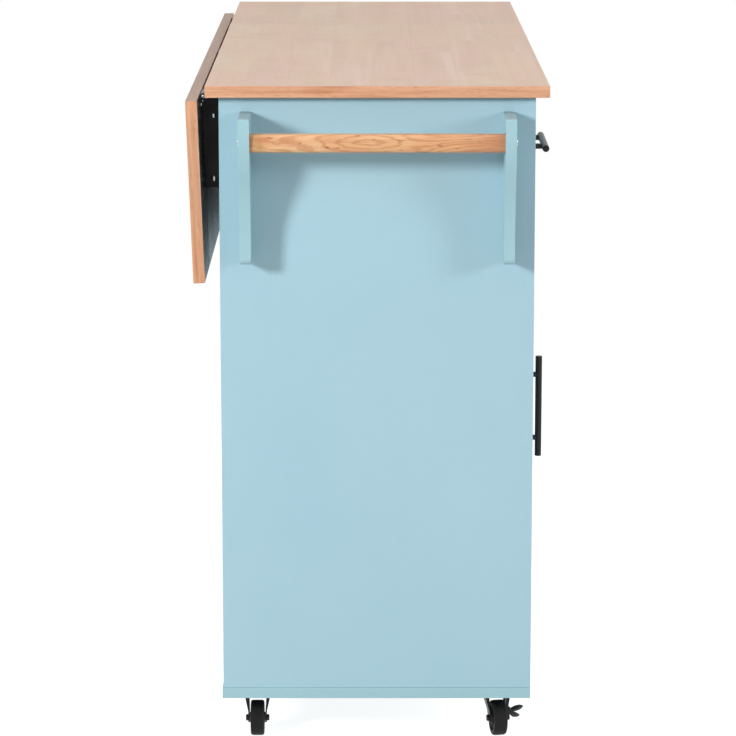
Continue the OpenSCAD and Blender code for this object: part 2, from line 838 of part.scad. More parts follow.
module brace_leaf_rivets() {
    start_x = upper_link_x - rivet_land;
    end_x = leaf_leg_x + brace_t;
    color(silver) for (i = [0, 1]) brace_side(i) {
        rod_x([start_x, pivot_c[0], pivot_c[1]], rivet_d, end_x - start_x);
        rod_x([end_x, pivot_c[0], pivot_c[1]], rivet_head_d, rivet_head_h);
    }
}

module leaf_screws() {
    color(silver) hang() {
        for (p = leaf_hinge_screws) screw_up(p);
        for (i = [0, 1], u = leaf_leg_screw_us) brace_side(i)
            screw_up([leaf_leg_x + flange_screw_x, hinge_y + u, under_z - brace_t]);
    }
}

module cabinet_screws() {
    color(silver) {
        for (p = hinge_screws) screw_up(p);
        for (p = caster_screws) screw_up(p);
        fixed_leg_screw_shapes(0);
        for (i = [0, 1], drop = fixed_screw_drops) brace_side(i)
            rod_y([flange_screw_x, body_y1 + brace_t, under_z - drop], screw_head_d, screw_head_h);
    }
}

// ---------- drawers ----------

// A channel 'l' long with its web at x and its flanges towards s
module channel(x, s, w, h, l) {
    low = runner_mid_z - h / 2;
    web_x = s > 0 ? x : x - runner_t;
    flange_x = s > 0 ? x : x - w;
    block([web_x, body_y0 + board_t, low], [runner_t, l, h]);
    for (z = [low, low + h - runner_t]) block([flange_x, body_y0 + board_t, z], [w, l, runner_t]);
}

module cabinet_runners() {
    color(silver) for (x = drawer_x) {
        channel(x, 1, runner_bed, runner_h, runner_l);
        channel(x + drawer_w, -1, runner_bed, runner_h, runner_l);
    }
}

module drawer_runners(d) {
    x0 = drawer_x[d] + runner_w;
    x1 = drawer_x[d] + drawer_w - runner_w;
    color(silver) {
        channel(x0, -1, runner_bed, runner_in_h, runner_l);
        channel(x1, 1, runner_bed, runner_in_h, runner_l);
    }
}

// The drawer bottom, or the groove that holds it
module drawer_bottom(d, gap) {
    x0 = drawer_x[d] + runner_w + box_t - groove;
    x1 = drawer_x[d] + drawer_w - runner_w - box_t + groove;
    block(
        [x0 - gap, body_y0 + board_t - groove - gap, bottom_z - gap],
        [x1 - x0 + 2 * gap, groove + box_l + gap, bottom_t + 2 * gap]
    );
}

module pull_screw_holes(a, b) {
    for (p = [a, b]) rod_y(p - [0, over, 0], pull_screw_d + 2 * hole_gap, board_t + 2 * over);
}

// Where a drawer pull's two posts meet the front
function drawer_posts(d) = [
    for (s = [-1, 1]) [drawer_x[d] + drawer_w / 2 + s * pull_post_pitch / 2, body_y0, drawer_mid_z]
];

module drawer_front(d) {
    posts = drawer_posts(d);
    color(paint) difference() {
        block(
            [drawer_x[d] + drawer_gap, body_y0, divider_top_z + drawer_gap],
            [drawer_w - 2 * drawer_gap, board_t, drawer_opening_h - 2 * drawer_gap]
        );
        drawer_bottom(d, hole_gap);
        pull_screw_holes(posts[0], posts[1]);
    }
}

// Two sides and the back, which stands on the bottom between them
module drawer_box(d) {
    x0 = drawer_x[d] + runner_w;
    x1 = drawer_x[d] + drawer_w - runner_w;
    back_z = bottom_z + bottom_t + hole_gap;
    color(wood) {
        for (x = [x0, x1 - box_t]) difference() {
            block([x, body_y0 + board_t, box_z], [box_t, box_l, box_h]);
            drawer_bottom(d, hole_gap);
        }
        block(
            [x0 + box_t + hole_gap, body_y0 + board_t + box_l - box_t, back_z],
            [x1 - x0 - 2 * (box_t + hole_gap), box_t, box_z + box_h - back_z]
        );
    }
}

// A bar pull with posts at a and b, its bar running past them, and its two machine screws
module bar_pull(a, b) {
    way = (b - a) / norm(b - a);
    bar_start = (a + b) / 2 - way * pull_bar_l / 2 - [0, pull_reach, 0];
    color(black) difference() {
        union() {
            if (way[0] > 0) rod_x(bar_start, pull_bar_d, pull_bar_l);
            else rod_z(bar_start, pull_bar_d, pull_bar_l);
            for (p = [a, b]) rod_y(p - [0, pull_reach, 0], pull_post_d, pull_reach);
        }
        for (p = [a, b])
            rod_y(p - [0, pull_screw_bite, 0], pull_screw_d + 2 * hole_gap, pull_screw_bite + over);
    }
    color(silver) for (p = [a, b]) {
        rod_y(p - [0, pull_screw_bite - hole_gap, 0], pull_screw_d, pull_screw_bite + board_t);
        rod_y(p + [0, board_t, 0], pull_screw_head_d, pull_screw_head_h);
    }
}

module drawer_pull(d) {
    posts = drawer_posts(d);
    bar_pull(posts[0], posts[1]);
}

module left_drawer_front() { drawer_front(0); }

module left_drawer_box() { drawer_box(0); }

module left_drawer_bottom() { color(wood) drawer_bottom(0, 0); }

module left_drawer_pull() { drawer_pull(0); }

module left_drawer_runners() { drawer_runners(0); }

module right_drawer_front() { drawer_front(1); }

module right_drawer_box() { drawer_box(1); }

module right_drawer_bottom() { color(wood) drawer_bottom(1, 0); }

module right_drawer_pull() { drawer_pull(1); }

module right_drawer_runners() { drawer_runners(1); }

// ---------- doors ----------

// The left door turns at its left edge and the right door at its right edge
module door_side(d) {
    translate([mid_x, 0, 0]) mirror([d, 0, 0]) translate([-mid_x, 0, 0]) children();
}

// The plate sunk flush in the base board (end 0) or in the divider's underside (end 1)
module pivot_plate_shape(d, end, gap) {
    plate_z = end == 0 ? floor_z - pivot_plate_t : divider_z;
    door_side(d)
        block(
            [pivot_x - pivot_plate_w / 2 - gap, body_y0 + over, plate_z],
            [pivot_plate_w + 2 * gap, pivot_plate_l, pivot_plate_t]
        );
}

module door_pivot_plates() {
    color(silver) for (d = [0, 1]) {
        for (end = [0, 1]) pivot_plate_shape(d, end, 0);
        door_side(d) {
            rod_z([pivot_x, pivot_y, floor_z], pivot_pin_d, pivot_pin_l);
            rod_z([pivot_x, pivot_y, divider_z - pivot_pin_l], pivot_pin_d, pivot_pin_l);
        }
    }
}

module door_catches() {
    color("white") for (d = [0, 1]) door_side(d)
        block([catch_x, catch_y, divider_z - catch_h], [catch_w, catch_d, catch_h]);
}

module door_panel() {
    color(paint) difference() {
        block([bay_x[0] + door_gap, body_y0, door_z], [door_w, board_t, door_h]);
        block(
            [bay_x[0] + door_gap + door_frame_w, body_y0 - over, door_z + door_frame_w],
            [door_w - 2 * door_frame_w, door_recess + over, door_h - 2 * door_frame_w]
        );
        rod_z([pivot_x, pivot_y, door_z - over], bush_d + 2 * hole_gap, bush_l + over + hole_gap);
        rod_z(
            [pivot_x, pivot_y, door_z + door_h - bush_l - hole_gap],
            bush_d + 2 * hole_gap,
            bush_l + over + hole_gap
        );
        pull_screw_holes(door_posts[0], door_posts[1]);
    }
}

// Two flanged bushes for the pivot pins, and the strike plate of the catch
module door_fittings() {
    bore_d = pivot_pin_d + 2 * running_fit;
    color(silver) {
        difference() {
            union() {
                rod_z([pivot_x, pivot_y, door_z - bush_flange_t], bush_flange_d, bush_flange_t);
                rod_z([pivot_x, pivot_y, door_z], bush_d, bush_l);
            }
            rod_z([pivot_x, pivot_y, floor_z], bore_d, pivot_pin_l + side_gap);
        }
        difference() {
            union() {
                rod_z([pivot_x, pivot_y, door_z + door_h], bush_flange_d, bush_flange_t);
                rod_z([pivot_x, pivot_y, door_z + door_h - bush_l], bush_d, bush_l);
            }
            rod_z([pivot_x, pivot_y, divider_z - pivot_pin_l - side_gap], bore_d, pivot_pin_l + side_gap);
        }
        block(
            [catch_x, body_y0 + board_t, divider_z - door_gap - catch_h],
            [catch_w, strike_t, catch_h]
        );
    }
}

module left_door() { door_side(0) door_panel(); }

module left_door_pull() { door_side(0) bar_pull(door_posts[0], door_posts[1]); }

module left_door_fittings() { door_side(0) door_fittings(); }

module right_door() { door_side(1) door_panel(); }

module right_door_pull() { door_side(1) bar_pull(door_posts[0], door_posts[1]); }

module right_door_fittings() { door_side(1) door_fittings(); }

// ---------- casters ----------

module caster_plates() {
    color(black) difference() {
        for (x = caster_xs, y = caster_ys) {
            translate([x - plate_w / 2, y - plate_w / 2, base_z - plate_t])
                linear_extrude(plate_t) round_rect([plate_w, plate_w], plate_corner_r);
            rod_z([x, y, base_z - plate_t - race_t], race_d, race_t);
            rod_z([x, y, crown_z - side_gap - kingpin_head_h], kingpin_head_d, kingpin_head_h);
            rod_z(
                [x, y, crown_z - side_gap - kingpin_head_h],
                kingpin_d,
                base_z - crown_z - plate_t + side_gap + kingpin_head_h
            );
        }
        for (p = caster_screws) screw_up_hole(p);
    }
}

// Puts what is drawn round the swivel axis, with the wheel behind it at -X, at caster (i, j)
module caster_at(i, j, turn) {
    translate([caster_xs[i], caster_ys[j], 0]) rotate([0, 0, turn]) children();
}

// Fork leg outline, x along the rolling direction and y up: wide at the crown, narrow at the axle
module fork_leg_outline() {
    eye_r = fork_eye_d / 2;
    polygon([
        [-fork_top_w / 2, crown_z + crown_t],
        [fork_top_w / 2, crown_z + crown_t],
        [fork_top_w / 2, crown_z - fork_shoulder],
        [eye_r - caster_trail, wheel_z],
        [-eye_r - caster_trail, wheel_z]
    ]);
    translate([-caster_trail, wheel_z]) circle(d = fork_eye_d);
}

// Fork leg section, x across and y up: the leg leans in below the crown
module fork_leg_section() {
    inner = [
        [fork_top_in, crown_z + crown_t],
        [fork_top_in, crown_z - fork_skirt],
        [fork_in, fork_bend_z],
        [fork_in, wheel_z - fork_eye_d]
    ];
    outer = [for (i = [3:-1:0]) inner[i] + [fork_t, 0]];
    polygon(concat(inner, outer));
}

module fork_leg() {
    intersection() {
        translate([0, crown_d, 0]) rotate([90, 0, 0]) linear_extrude(crown_d) fork_leg_outline();
        slab_x(-2 * crown_d, 4 * crown_d) fork_leg_section();
    }
}

// Crown, two legs and, as separate solids, the axle bolt and its nuts
module fork_body(braked) {
    axle_l = 2 * (fork_in + fork_t + nut_h);
    color(black) difference() {
        union() {
            rod_z([0, 0, crown_z], crown_d, crown_t);
            fork_leg();
            mirror([0, 1, 0]) fork_leg();
            if (braked) pedal_ears();
        }
        rod_z([0, 0, crown_z - over], kingpin_d + 2 * running_fit, crown_t + 2 * over);
        rod_y([-caster_trail, -crown_d, wheel_z], axle_d + 2 * hole_gap, 2 * crown_d);
    }
    color(black) {
        rod_y([-caster_trail, -axle_l / 2, wheel_z], axle_d, axle_l);
        for (s = [-1, 1])
            rod_y(
                [-caster_trail, s * (fork_in + fork_t + hole_gap) + (s < 0 ? -nut_h : 0), wheel_z],
                nut_d,
                nut_h
            );
    }
    if (braked) color(silver) pedal_pin();
}

// Two ears on the fork's outer side carry the pedal's pin, which runs along the rolling direction
module pedal_ears() {
    for (x = [pedal_x - ear_t - side_gap, pedal_x + pedal_w + side_gap]) difference() {
        slab_x(x, ear_t) {
            translate([-pedal_y, pedal_z]) circle(d = ear_d);
            translate([-pedal_y, pedal_z - ear_d / 2]) square([pedal_y - fork_in - fork_t / 2, ear_d]);
        }
        rod_x([x - over, -pedal_y, pedal_z], pedal_pin_d + 2 * hole_gap, ear_t + 2 * over);
    }
}

module pedal_pin() {
    past = ear_t + side_gap + pedal_pin_over;
    rod_x([pedal_x - past, -pedal_y, pedal_z], pedal_pin_d, pedal_w + 2 * past);
}

// Rocker with an upper paddle that frees the wheel and a lower one that locks it
module brake_pedal() {
    color(black) difference() {
        union() {
            rod_x([pedal_x, -pedal_y, pedal_z], pedal_boss_d, pedal_w);
            paddle(pedal_upper[0], pedal_upper[1]);
            paddle(pedal_lower[0], pedal_lower[1]);
        }
        rod_x([pedal_x - over, -pedal_y, pedal_z], pedal_pin_d + 2 * running_fit, pedal_w + 2 * over);
    }
}

// Half the paddle's thickness, square to the way from a to b
function paddle_side(a, b) = [a[1] - b[1], b[0] - a[0]] / norm(b - a) * pedal_t / 2;

// A strip from the pedal's axis, bent once, with a rolled tip
module paddle(bend, tip) {
    root_side = paddle_side([0, 0], bend);
    tip_side = paddle_side(bend, tip);
    turn = root_side * tip_side / (pedal_t / 2) ^ 2;
    bend_side = (root_side + tip_side) / (1 + turn);
    slab_x(pedal_x, pedal_w) translate([-pedal_y, pedal_z]) polygon([
        -root_side,
        bend - bend_side,
        tip - tip_side,
        tip + tip_side,
        bend + bend_side,
        root_side
    ]);
    rod_x([pedal_x, tip[0] - pedal_y, tip[1] + pedal_z], pedal_t + pedal_roll, pedal_w);
}

// Wheel with rounded tread edges and sunk faces
module wheel_body() {
    r = wheel_d / 2;
    hub_w = 2 * (fork_in - side_gap);
    color(black) translate([-caster_trail, 0, wheel_z]) rotate([90, 0, 0]) difference() {
        rotate_extrude() union() {
            translate([0, -wheel_w / 2]) square([r - tread_r, wheel_w]);
            translate([0, tread_r - wheel_w / 2]) square([r, wheel_w - 2 * tread_r]);
            for (y = [-1, 1]) translate([r - tread_r, y * (wheel_w / 2 - tread_r)]) circle(r = tread_r);
            translate([0, -hub_w / 2]) square([hub_d / 2, hub_w]);
        }
        for (s = [0, 1]) mirror([0, 0, s]) translate([0, 0, wheel_w / 2 - face_sink]) difference() {
            cylinder(r = r - rim_w, h = face_sink + over);
            translate([0, 0, -over]) cylinder(d = hub_d, h = face_sink + 3 * over);
        }
        translate([0, 0, -wheel_w]) cylinder(d = axle_d + 2 * running_fit, h = 2 * wheel_w);
    }
}

module front_left_fork() { caster_at(0, 0, front_left_turn) fork_body(true); }

module front_right_fork() { caster_at(1, 0, front_right_turn) fork_body(true); }

module rear_left_fork() { caster_at(0, 1, 0) fork_body(false); }

module rear_right_fork() { caster_at(1, 1, rear_right_turn) fork_body(false); }

module front_left_wheel() { caster_at(0, 0, front_left_turn) wheel_body(); }

module front_right_wheel() { caster_at(1, 0, front_right_turn) wheel_body(); }

module rear_left_wheel() { caster_at(0, 1, 0) wheel_body(); }

module rear_right_wheel() { caster_at(1, 1, rear_right_turn) wheel_body(); }

module left_brake_pedal() { caster_at(0, 0, front_left_turn) brake_pedal(); }

module right_brake_pedal() { caster_at(1, 0, front_right_turn) brake_pedal(); }

// ---------- nodes ----------

tabletop();
left_side_panel();
right_side_panel();
base_board();
back_panel();
front_rail();
rear_rail();
divider_shelf();
drawer_partition();
bay_partitions();
bay_shelves();
shelf_pins();
towel_brackets();
towel_bar();
towel_rack_screws();
leaf_hinge_top_plates();
leaf_hinge_pins();
brace_fixed_legs();
brace_fixed_rivets();
cabinet_runners();
door_pivot_plates();
door_catches();
caster_plates();
cabinet_screws();
drop_leaf();
leaf_hinge_leaf_plates();
brace_leaf_legs();
brace_leaf_rivets();
leaf_screws();
left_lower_link();
right_lower_link();
left_upper_link();
right_upper_link();
left_drawer_front();
left_drawer_box();
left_drawer_bottom();
left_drawer_pull();
left_drawer_runners();
right_drawer_front();
right_drawer_box();
right_drawer_bottom();
right_drawer_pull();
right_drawer_runners();
left_door();
left_door_pull();
left_door_fittings();
right_door();
right_door_pull();
right_door_fittings();
front_left_fork();
front_right_fork();
rear_left_fork();
rear_right_fork();
front_left_wheel();
front_right_wheel();
rear_left_wheel();
rear_right_wheel();
left_brake_pedal();
right_brake_pedal();
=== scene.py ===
import json
import math

import bmesh
import bpy
from mathutils import Matrix, Vector


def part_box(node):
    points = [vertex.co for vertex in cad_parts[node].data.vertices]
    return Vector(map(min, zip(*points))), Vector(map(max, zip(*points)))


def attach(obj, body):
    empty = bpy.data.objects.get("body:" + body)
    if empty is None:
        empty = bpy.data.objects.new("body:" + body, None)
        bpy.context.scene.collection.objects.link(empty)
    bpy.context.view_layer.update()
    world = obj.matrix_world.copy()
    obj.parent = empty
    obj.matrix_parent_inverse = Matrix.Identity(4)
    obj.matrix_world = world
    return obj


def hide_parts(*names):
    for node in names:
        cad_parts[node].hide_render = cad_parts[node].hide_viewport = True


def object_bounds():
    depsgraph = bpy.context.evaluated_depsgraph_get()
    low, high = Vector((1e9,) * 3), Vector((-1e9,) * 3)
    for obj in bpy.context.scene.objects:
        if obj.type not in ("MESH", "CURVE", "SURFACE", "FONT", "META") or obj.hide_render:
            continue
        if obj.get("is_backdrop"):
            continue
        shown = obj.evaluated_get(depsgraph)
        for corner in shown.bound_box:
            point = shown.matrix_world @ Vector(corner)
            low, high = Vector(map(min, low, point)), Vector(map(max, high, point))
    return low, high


# Lengths are in metres
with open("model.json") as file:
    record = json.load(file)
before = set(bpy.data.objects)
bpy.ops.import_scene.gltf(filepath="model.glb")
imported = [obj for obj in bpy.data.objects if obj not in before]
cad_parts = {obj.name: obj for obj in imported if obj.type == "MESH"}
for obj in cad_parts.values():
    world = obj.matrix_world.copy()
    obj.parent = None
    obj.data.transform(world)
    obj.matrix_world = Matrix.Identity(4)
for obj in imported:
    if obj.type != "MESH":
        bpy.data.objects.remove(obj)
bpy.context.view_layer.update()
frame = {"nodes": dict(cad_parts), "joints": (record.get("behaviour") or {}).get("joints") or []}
nodes = frame["nodes"]
joints = {j["name"]: j for j in frame["joints"]}

# The leaf hangs with its underside to the body: from raised to hanging it turns by this angle
HINGE = Vector(joints["leaf_fold"]["pos_m"])
FOLD = math.radians(joints["leaf_fold"]["range_deg"][1])

DOWN, UP = Vector((0, 0, -1)), Vector((0, 0, 1))
TO_LEFT, TO_RIGHT = Vector((-1, 0, 0)), Vector((1, 0, 0))
OUT_FRONT, OUT_REAR = Vector((0, -1, 0)), Vector((0, 1, 0))


# ---------- colours and shaders ----------

def srgb(red, green, blue):
    """A colour given as it is seen on a screen, 0 to 255, in linear values."""
    seen = [c / 255 for c in (red, green, blue)]
    return tuple(c / 12.92 if c <= 0.04045 else ((c + 0.055) / 1.055) ** 2.4 for c in seen) + (1.0,)


class Nodes:
    """A node tree that starts empty, with short ways to add nodes and to link or set their sockets."""

    # The sockets of a Mix node that work on colours: its two inputs and its output
    FIRST_COLOUR, SECOND_COLOUR, MIXED_COLOUR = 6, 7, 2

    def __init__(self, owner):
        owner.use_nodes = True
        self.tree = owner.node_tree
        self.tree.nodes.clear()

    def add(self, kind, **settings):
        """A new node, with some of its settings."""
        node = self.tree.nodes.new(kind)
        for key, value in settings.items():
            setattr(node, key, value)
        return node

    def plug(self, socket, value):
        """Links the socket to an output, or sets it to a plain value."""
        if isinstance(value, bpy.types.NodeSocket):
            self.tree.links.new(value, socket)
        else:
            socket.default_value = value

    def feed(self, node, *firsts, **named):
        """Feeds a node's first sockets by their order and others by name, with _ for a space."""
        for socket, value in zip(node.inputs, firsts):
            self.plug(socket, value)
        for key, value in named.items():
            self.plug(node.inputs[key.replace("_", " ")], value)
        return node

    def sums(self, operation, *values):
        """The result of a Math node."""
        return self.feed(self.add("ShaderNodeMath", operation=operation), *values).outputs[0]

    def mix(self, factor, first, second):
        """A colour between two others: the first where the factor is 0."""
        node = self.feed(self.add("ShaderNodeMix", data_type="RGBA"), factor)
        self.plug(node.inputs[self.FIRST_COLOUR], first)
        self.plug(node.inputs[self.SECOND_COLOUR], second)
        return node.outputs[self.MIXED_COLOUR]

    def grey(self, value, low, high, dark=0.0, light=1.0, **settings):
        """value stretched from low..high to dark..light, and clamped."""
        node = self.add("ShaderNodeMapRange", **settings)
        return self.feed(
            node, Value=value, From_Min=low, From_Max=high, To_Min=dark, To_Max=light
        ).outputs["Result"]


class Shader(Nodes):
    """A procedural material. Its texture space is the row frame in metres, and moves with the piece."""

    def __init__(self, name, **sockets):
        self.material = bpy.data.materials.new(name)
        super().__init__(self.material)
        self.bsdf = self.feed(self.add("ShaderNodeBsdfPrincipled"), **sockets)
        self.feed(self.add("ShaderNodeOutputMaterial"), self.bsdf.outputs[0])
        self.place = self.add("ShaderNodeTexCoord").outputs["Object"]

    def raised(self):
        """The place that a point of the hanging leaf has when the leaf is up, from the hinge."""
        node = self.add("ShaderNodeMapping", vector_type="TEXTURE")
        return self.feed(node, Vector=self.place, Location=HINGE, Rotation=(-FOLD, 0.0, 0.0)).outputs[0]

    def stretch(self, scale, place=None):
        """The place with a scale of its own along each axis."""
        return self.feed(self.add("ShaderNodeMapping"), Vector=place or self.place, Scale=scale).outputs[0]

    def noise(self, scale, detail=3.0, roughness=0.5, distortion=0.0, place=None, shift=None):
        """Noise of one scale, or of one along each axis. Each value of shift has its own pattern."""
        place = place or self.place
        if isinstance(scale, tuple):
            place, scale = self.stretch(scale, place), 1.0
        node = self.add("ShaderNodeTexNoise", noise_dimensions="4D" if shift else "3D")
        self.feed(node, Vector=place, Scale=scale, Detail=detail, Roughness=roughness, Distortion=distortion)
        if shift:
            self.feed(node, W=shift)
        return node.outputs["Fac"]

    def ramp(self, value, stops):
        """Colours along a value. A stop is a position and a colour."""
        node = self.feed(self.add("ShaderNodeValToRGB"), Fac=value)
        band = node.color_ramp.elements
        while len(band) < len(stops):
            band.new(0.5)
        for element, (at, colour) in zip(band, stops):
            element.position = at
            element.color = colour
        return node.outputs["Color"]

    def stain(self, colour, value, start, full, amount, seen):
        """Another colour laid over: none of it where value is at start, its whole amount at full."""
        return self.mix(self.grey(value, start, full, 0.0, amount), colour, srgb(*seen))

    def bump(self, height, distance, under=None):
        """A normal that follows a height map, laid over another normal where one is given."""
        node = self.feed(self.add("ShaderNodeBump"), Height=height, Distance=distance)
        if under:
            self.feed(node, Normal=under)
        return node.outputs[0]

    def done(self, colour, noise, roughness, normal):
        """The finished material. Its roughness follows a noise between the two values given."""
        rough = self.grey(noise, 0.3, 0.7, *roughness)
        self.feed(self.bsdf, Base_Color=colour, Roughness=rough, Normal=normal)
        return self.material


def paint_material(name, low, middle, high, drifted):
    """Satin sprayed paint: faint clouds, faint drift, fine specks and orange peel."""
    s = Shader(name)
    cloud = s.noise(2.6, detail=2.0)
    drift = s.noise((9.0, 9.0, 3.15))
    speck = s.noise(640.0, detail=1.0)
    peel = s.noise(210.0, detail=2.0, roughness=0.6)
    fine = s.noise(900.0, detail=1.0)
    colour = s.ramp(cloud, [(0.30, srgb(*low)), (0.50, srgb(*middle)), (0.72, srgb(*high))])
    colour = s.stain(colour, drift, 0.35, 0.7, 0.35, drifted)
    colour = s.stain(colour, speck, 0.62, 0.8, 0.16, (142, 180, 192))
    normal = s.bump(fine, 0.00004, s.bump(peel, 0.00016))
    return s.done(colour, drift, (0.40, 0.50), normal)


STAVE_L, STAVE_W = 0.43, 0.0583


def top_material(name, hanging):
    """Butcher block face: staves along X, each with its own tint and grain."""
    s = Shader(name)
    place = s.raised() if hanging else s.place
    brick = s.feed(
        s.add("ShaderNodeTexBrick", offset=0.37), Vector=place, Scale=1.0,
        Color1=(0, 0, 0, 1), Color2=(1, 1, 1, 1), Mortar=(0.5, 0.5, 0.5, 1),
        Mortar_Size=0.0005, Mortar_Smooth=0.3, Brick_Width=STAVE_L, Row_Height=STAVE_W,
    )
    # Each stave has a number of its own, from 0 to 1, which shifts its grain
    stave = s.sums("MULTIPLY", brick.outputs["Color"], 1.0)
    shift = s.sums("MULTIPLY", stave, 43.0)
    broad_shift = s.sums("MULTIPLY", stave, 64.5)
    flow = s.noise((0.8, 24.0, 24.0), 5.0, 0.66, 0.5, place, shift)
    broad = s.noise((1.8, 5.1, 5.1), 3.0, 0.6, 0.5, place, broad_shift)
    cloud = s.noise((3.0, 6.5, 6.5), 4.0, 0.6, 0.9, place)
    fibre = s.noise((9.0, 520.0, 520.0), 2.0, 0.6, 0.0, place, shift)
    colour = s.ramp(flow, [
        (0.30, srgb(196, 165, 143)), (0.44, srgb(208, 179, 155)), (0.58, srgb(214, 187, 163)),
        (0.72, srgb(221, 198, 177)),
    ])
    tints = s.ramp(stave, [
        (0.05, srgb(209, 177, 157)), (0.35, srgb(216, 190, 166)), (0.65, srgb(203, 176, 156)),
        (0.95, srgb(217, 188, 163)),
    ])
    colour = s.mix(0.30, colour, tints)
    colour = s.stain(colour, broad, 0.42, 0.64, 0.55, (199, 169, 152))
    colour = s.stain(colour, cloud, 0.46, 0.62, 0.60, (212, 180, 165))
    colour = s.stain(colour, cloud, 0.46, 0.32, 0.55, (210, 195, 172))
    colour = s.stain(colour, flow, 0.50, 0.66, 0.36, (193, 163, 144))
    colour = s.stain(colour, flow, 0.47, 0.34, 0.34, (224, 205, 188))
    colour = s.stain(colour, fibre, 0.55, 0.75, 0.14, (182, 149, 128))
    # Hair-fine checks and worm tracks, in a few patches, mostly across the grain
    track = s.noise((120.0, 15.0, 15.0), 3.0, 0.6, 1.4, place)
    line = s.grey(s.sums("ABSOLUTE", s.sums("SUBTRACT", track, 0.5)), 0.0, 0.020, 1.0, 0.0)
    patches = s.grey(s.noise(8.5, detail=2.0, place=place), 0.56, 0.66, 0.0, 0.60)
    colour = s.mix(s.sums("MULTIPLY", line, patches), colour, srgb(140, 112, 97))
    marks = s.noise((46.0, 24.0, 24.0), 2.0, 0.5, 0.3, place, shift)
    colour = s.stain(colour, marks, 0.77, 0.81, 0.45, (132, 102, 86))
    # The joints between the staves
    colour = s.mix(s.sums("MULTIPLY", brick.outputs["Fac"], 0.08), colour, srgb(150, 114, 92))
    return s.done(colour, flow, (0.50, 0.60), s.bump(flow, 0.00007, s.bump(fibre, 0.00006)))


def banding_material(name, hanging):
    """Thin wood strip on the boards' edges: the grain runs along every edge."""
    s = Shader(name)
    place = s.raised() if hanging else s.place
    flow = s.noise((7.0, 7.0, 170.0), 5.0, 0.66, 0.5, place)
    fibre = s.noise((7.0, 7.0, 900.0), 2.0, 0.6, 0.0, place)
    pores = s.noise((95.0, 95.0, 1500.0), 2.0, 0.5, 0.0, place)
    patch = s.noise(7.0, place=place)
    colour = s.ramp(flow, [
        (0.30, srgb(183, 122, 86)), (0.44, srgb(205, 149, 114)), (0.56, srgb(215, 163, 128)),
        (0.74, srgb(226, 179, 146)),
    ])
    colour = s.stain(colour, patch, 0.4, 0.7, 0.30, (218, 167, 134))
    colour = s.stain(colour, fibre, 0.50, 0.76, 0.45, (176, 113, 78))
    colour = s.stain(colour, pores, 0.60, 0.70, 0.50, (150, 95, 66))
    return s.done(colour, patch, (0.42, 0.52), s.bump(fibre, 0.00008))


def shaded_hinge_edge_material():
    """The leaf's edge next to the hinges: the banding's wood greyed and darkened, as painted shade and a
    painted grazing reflection.
    """
    s = Shader("leaf_hinge_edge_painted_shade")
    flow = s.noise((3.0, 60.0, 60.0), 4.0, 0.6, 0.5)
    fibre = s.noise((12.0, 700.0, 700.0), 2.0, 0.6)
    colour = s.ramp(flow, [
        (0.30, srgb(156, 132, 118)), (0.50, srgb(172, 149, 134)), (0.72, srgb(184, 162, 147)),
    ])
    colour = s.stain(colour, fibre, 0.5, 0.78, 0.40, (140, 116, 102))
    return s.done(colour, flow, (0.55, 0.66), s.bump(fibre, 0.0001))


def shaded_underside_material():
    """Glossy foil under the worktop and the leaf, with faint marbled streaks; its dark grey is painted shade of
    the narrow gap behind the hanging leaf and under the worktop's overhang.
    """
    s = Shader("underside_painted_shade", Specular_IOR_Level=0.32)
    vein = s.noise(9.0, 5.0, 0.62, 1.2)
    fine = s.noise(420.0, detail=2.0)
    colour = s.ramp(vein, [
        (0.34, srgb(80, 82, 81)), (0.52, srgb(102, 104, 102)), (0.68, srgb(120, 121, 118)),
    ])
    return s.done(colour, vein, (0.18, 0.31), s.bump(fine, 0.00002))


def bar_material():
    """Solid wood of the towel bar: long ovals of growth rings along Y, fibres and dark flecks."""
    s = Shader("bar_wood")
    warp = s.noise((30.0, 7.0, 30.0), 3.0, 0.55, 0.8)
    fibre = s.noise((620.0, 14.0, 620.0), 2.0, 0.6)
    feather = s.noise((260.0, 60.0, 420.0), 3.0, 0.65)
    streak = s.noise((130.0, 5.0, 130.0), 3.0, 0.6, 0.4)
    fleck = s.noise((150.0, 40.0, 190.0), 2.0, 0.5)
    # Rings round scattered hearts: a sine of the distance to the nearest, bent and feathered
    hearts = s.feed(
        s.add("ShaderNodeTexVoronoi", feature="SMOOTH_F1"), Vector=s.stretch((24.0, 7.0, 36.0)),
        Scale=1.0, Smoothness=0.7, Randomness=0.9,
    )
    rings = s.sums("MULTIPLY", hearts.outputs["Distance"], 58.0)
    for bend, strength in ((warp, 19.0), (feather, 4.5)):
        rings = s.sums("ADD", rings, s.sums("MULTIPLY", bend, strength))
    rings = s.sums("SINE", rings)
    colour = s.ramp(warp, [
        (0.30, srgb(199, 140, 96)), (0.45, srgb(213, 160, 115)), (0.58, srgb(223, 177, 132)),
        (0.75, srgb(230, 191, 148)),
    ])
    colour = s.stain(colour, rings, 0.15, 1.0, 0.58, (184, 114, 72))
    colour = s.stain(colour, streak, 0.48, 0.72, 0.40, (196, 134, 92))
    colour = s.stain(colour, fibre, 0.50, 0.76, 0.45, (174, 108, 70))
    colour = s.stain(colour, fleck, 0.665, 0.73, 0.80, (116, 64, 40))
    # Painted shade at both ends of the bar, next to the brackets: redder and darker towards the end at the
    # drawers' side, a duller patch at the other end
    along = s.feed(s.add("ShaderNodeSeparateXYZ"), s.place).outputs["Y"]
    colour = s.stain(colour, along, -0.110, -0.165, 0.66, (172, 112, 78))
    patch = s.sums("ADD", along, s.sums("MULTIPLY", warp, 0.02))
    colour = s.stain(colour, patch, 0.1545, 0.1605, 0.55, (174, 134, 86))
    return s.done(colour, warp, (0.36, 0.48), s.bump(fibre, 0.00012))


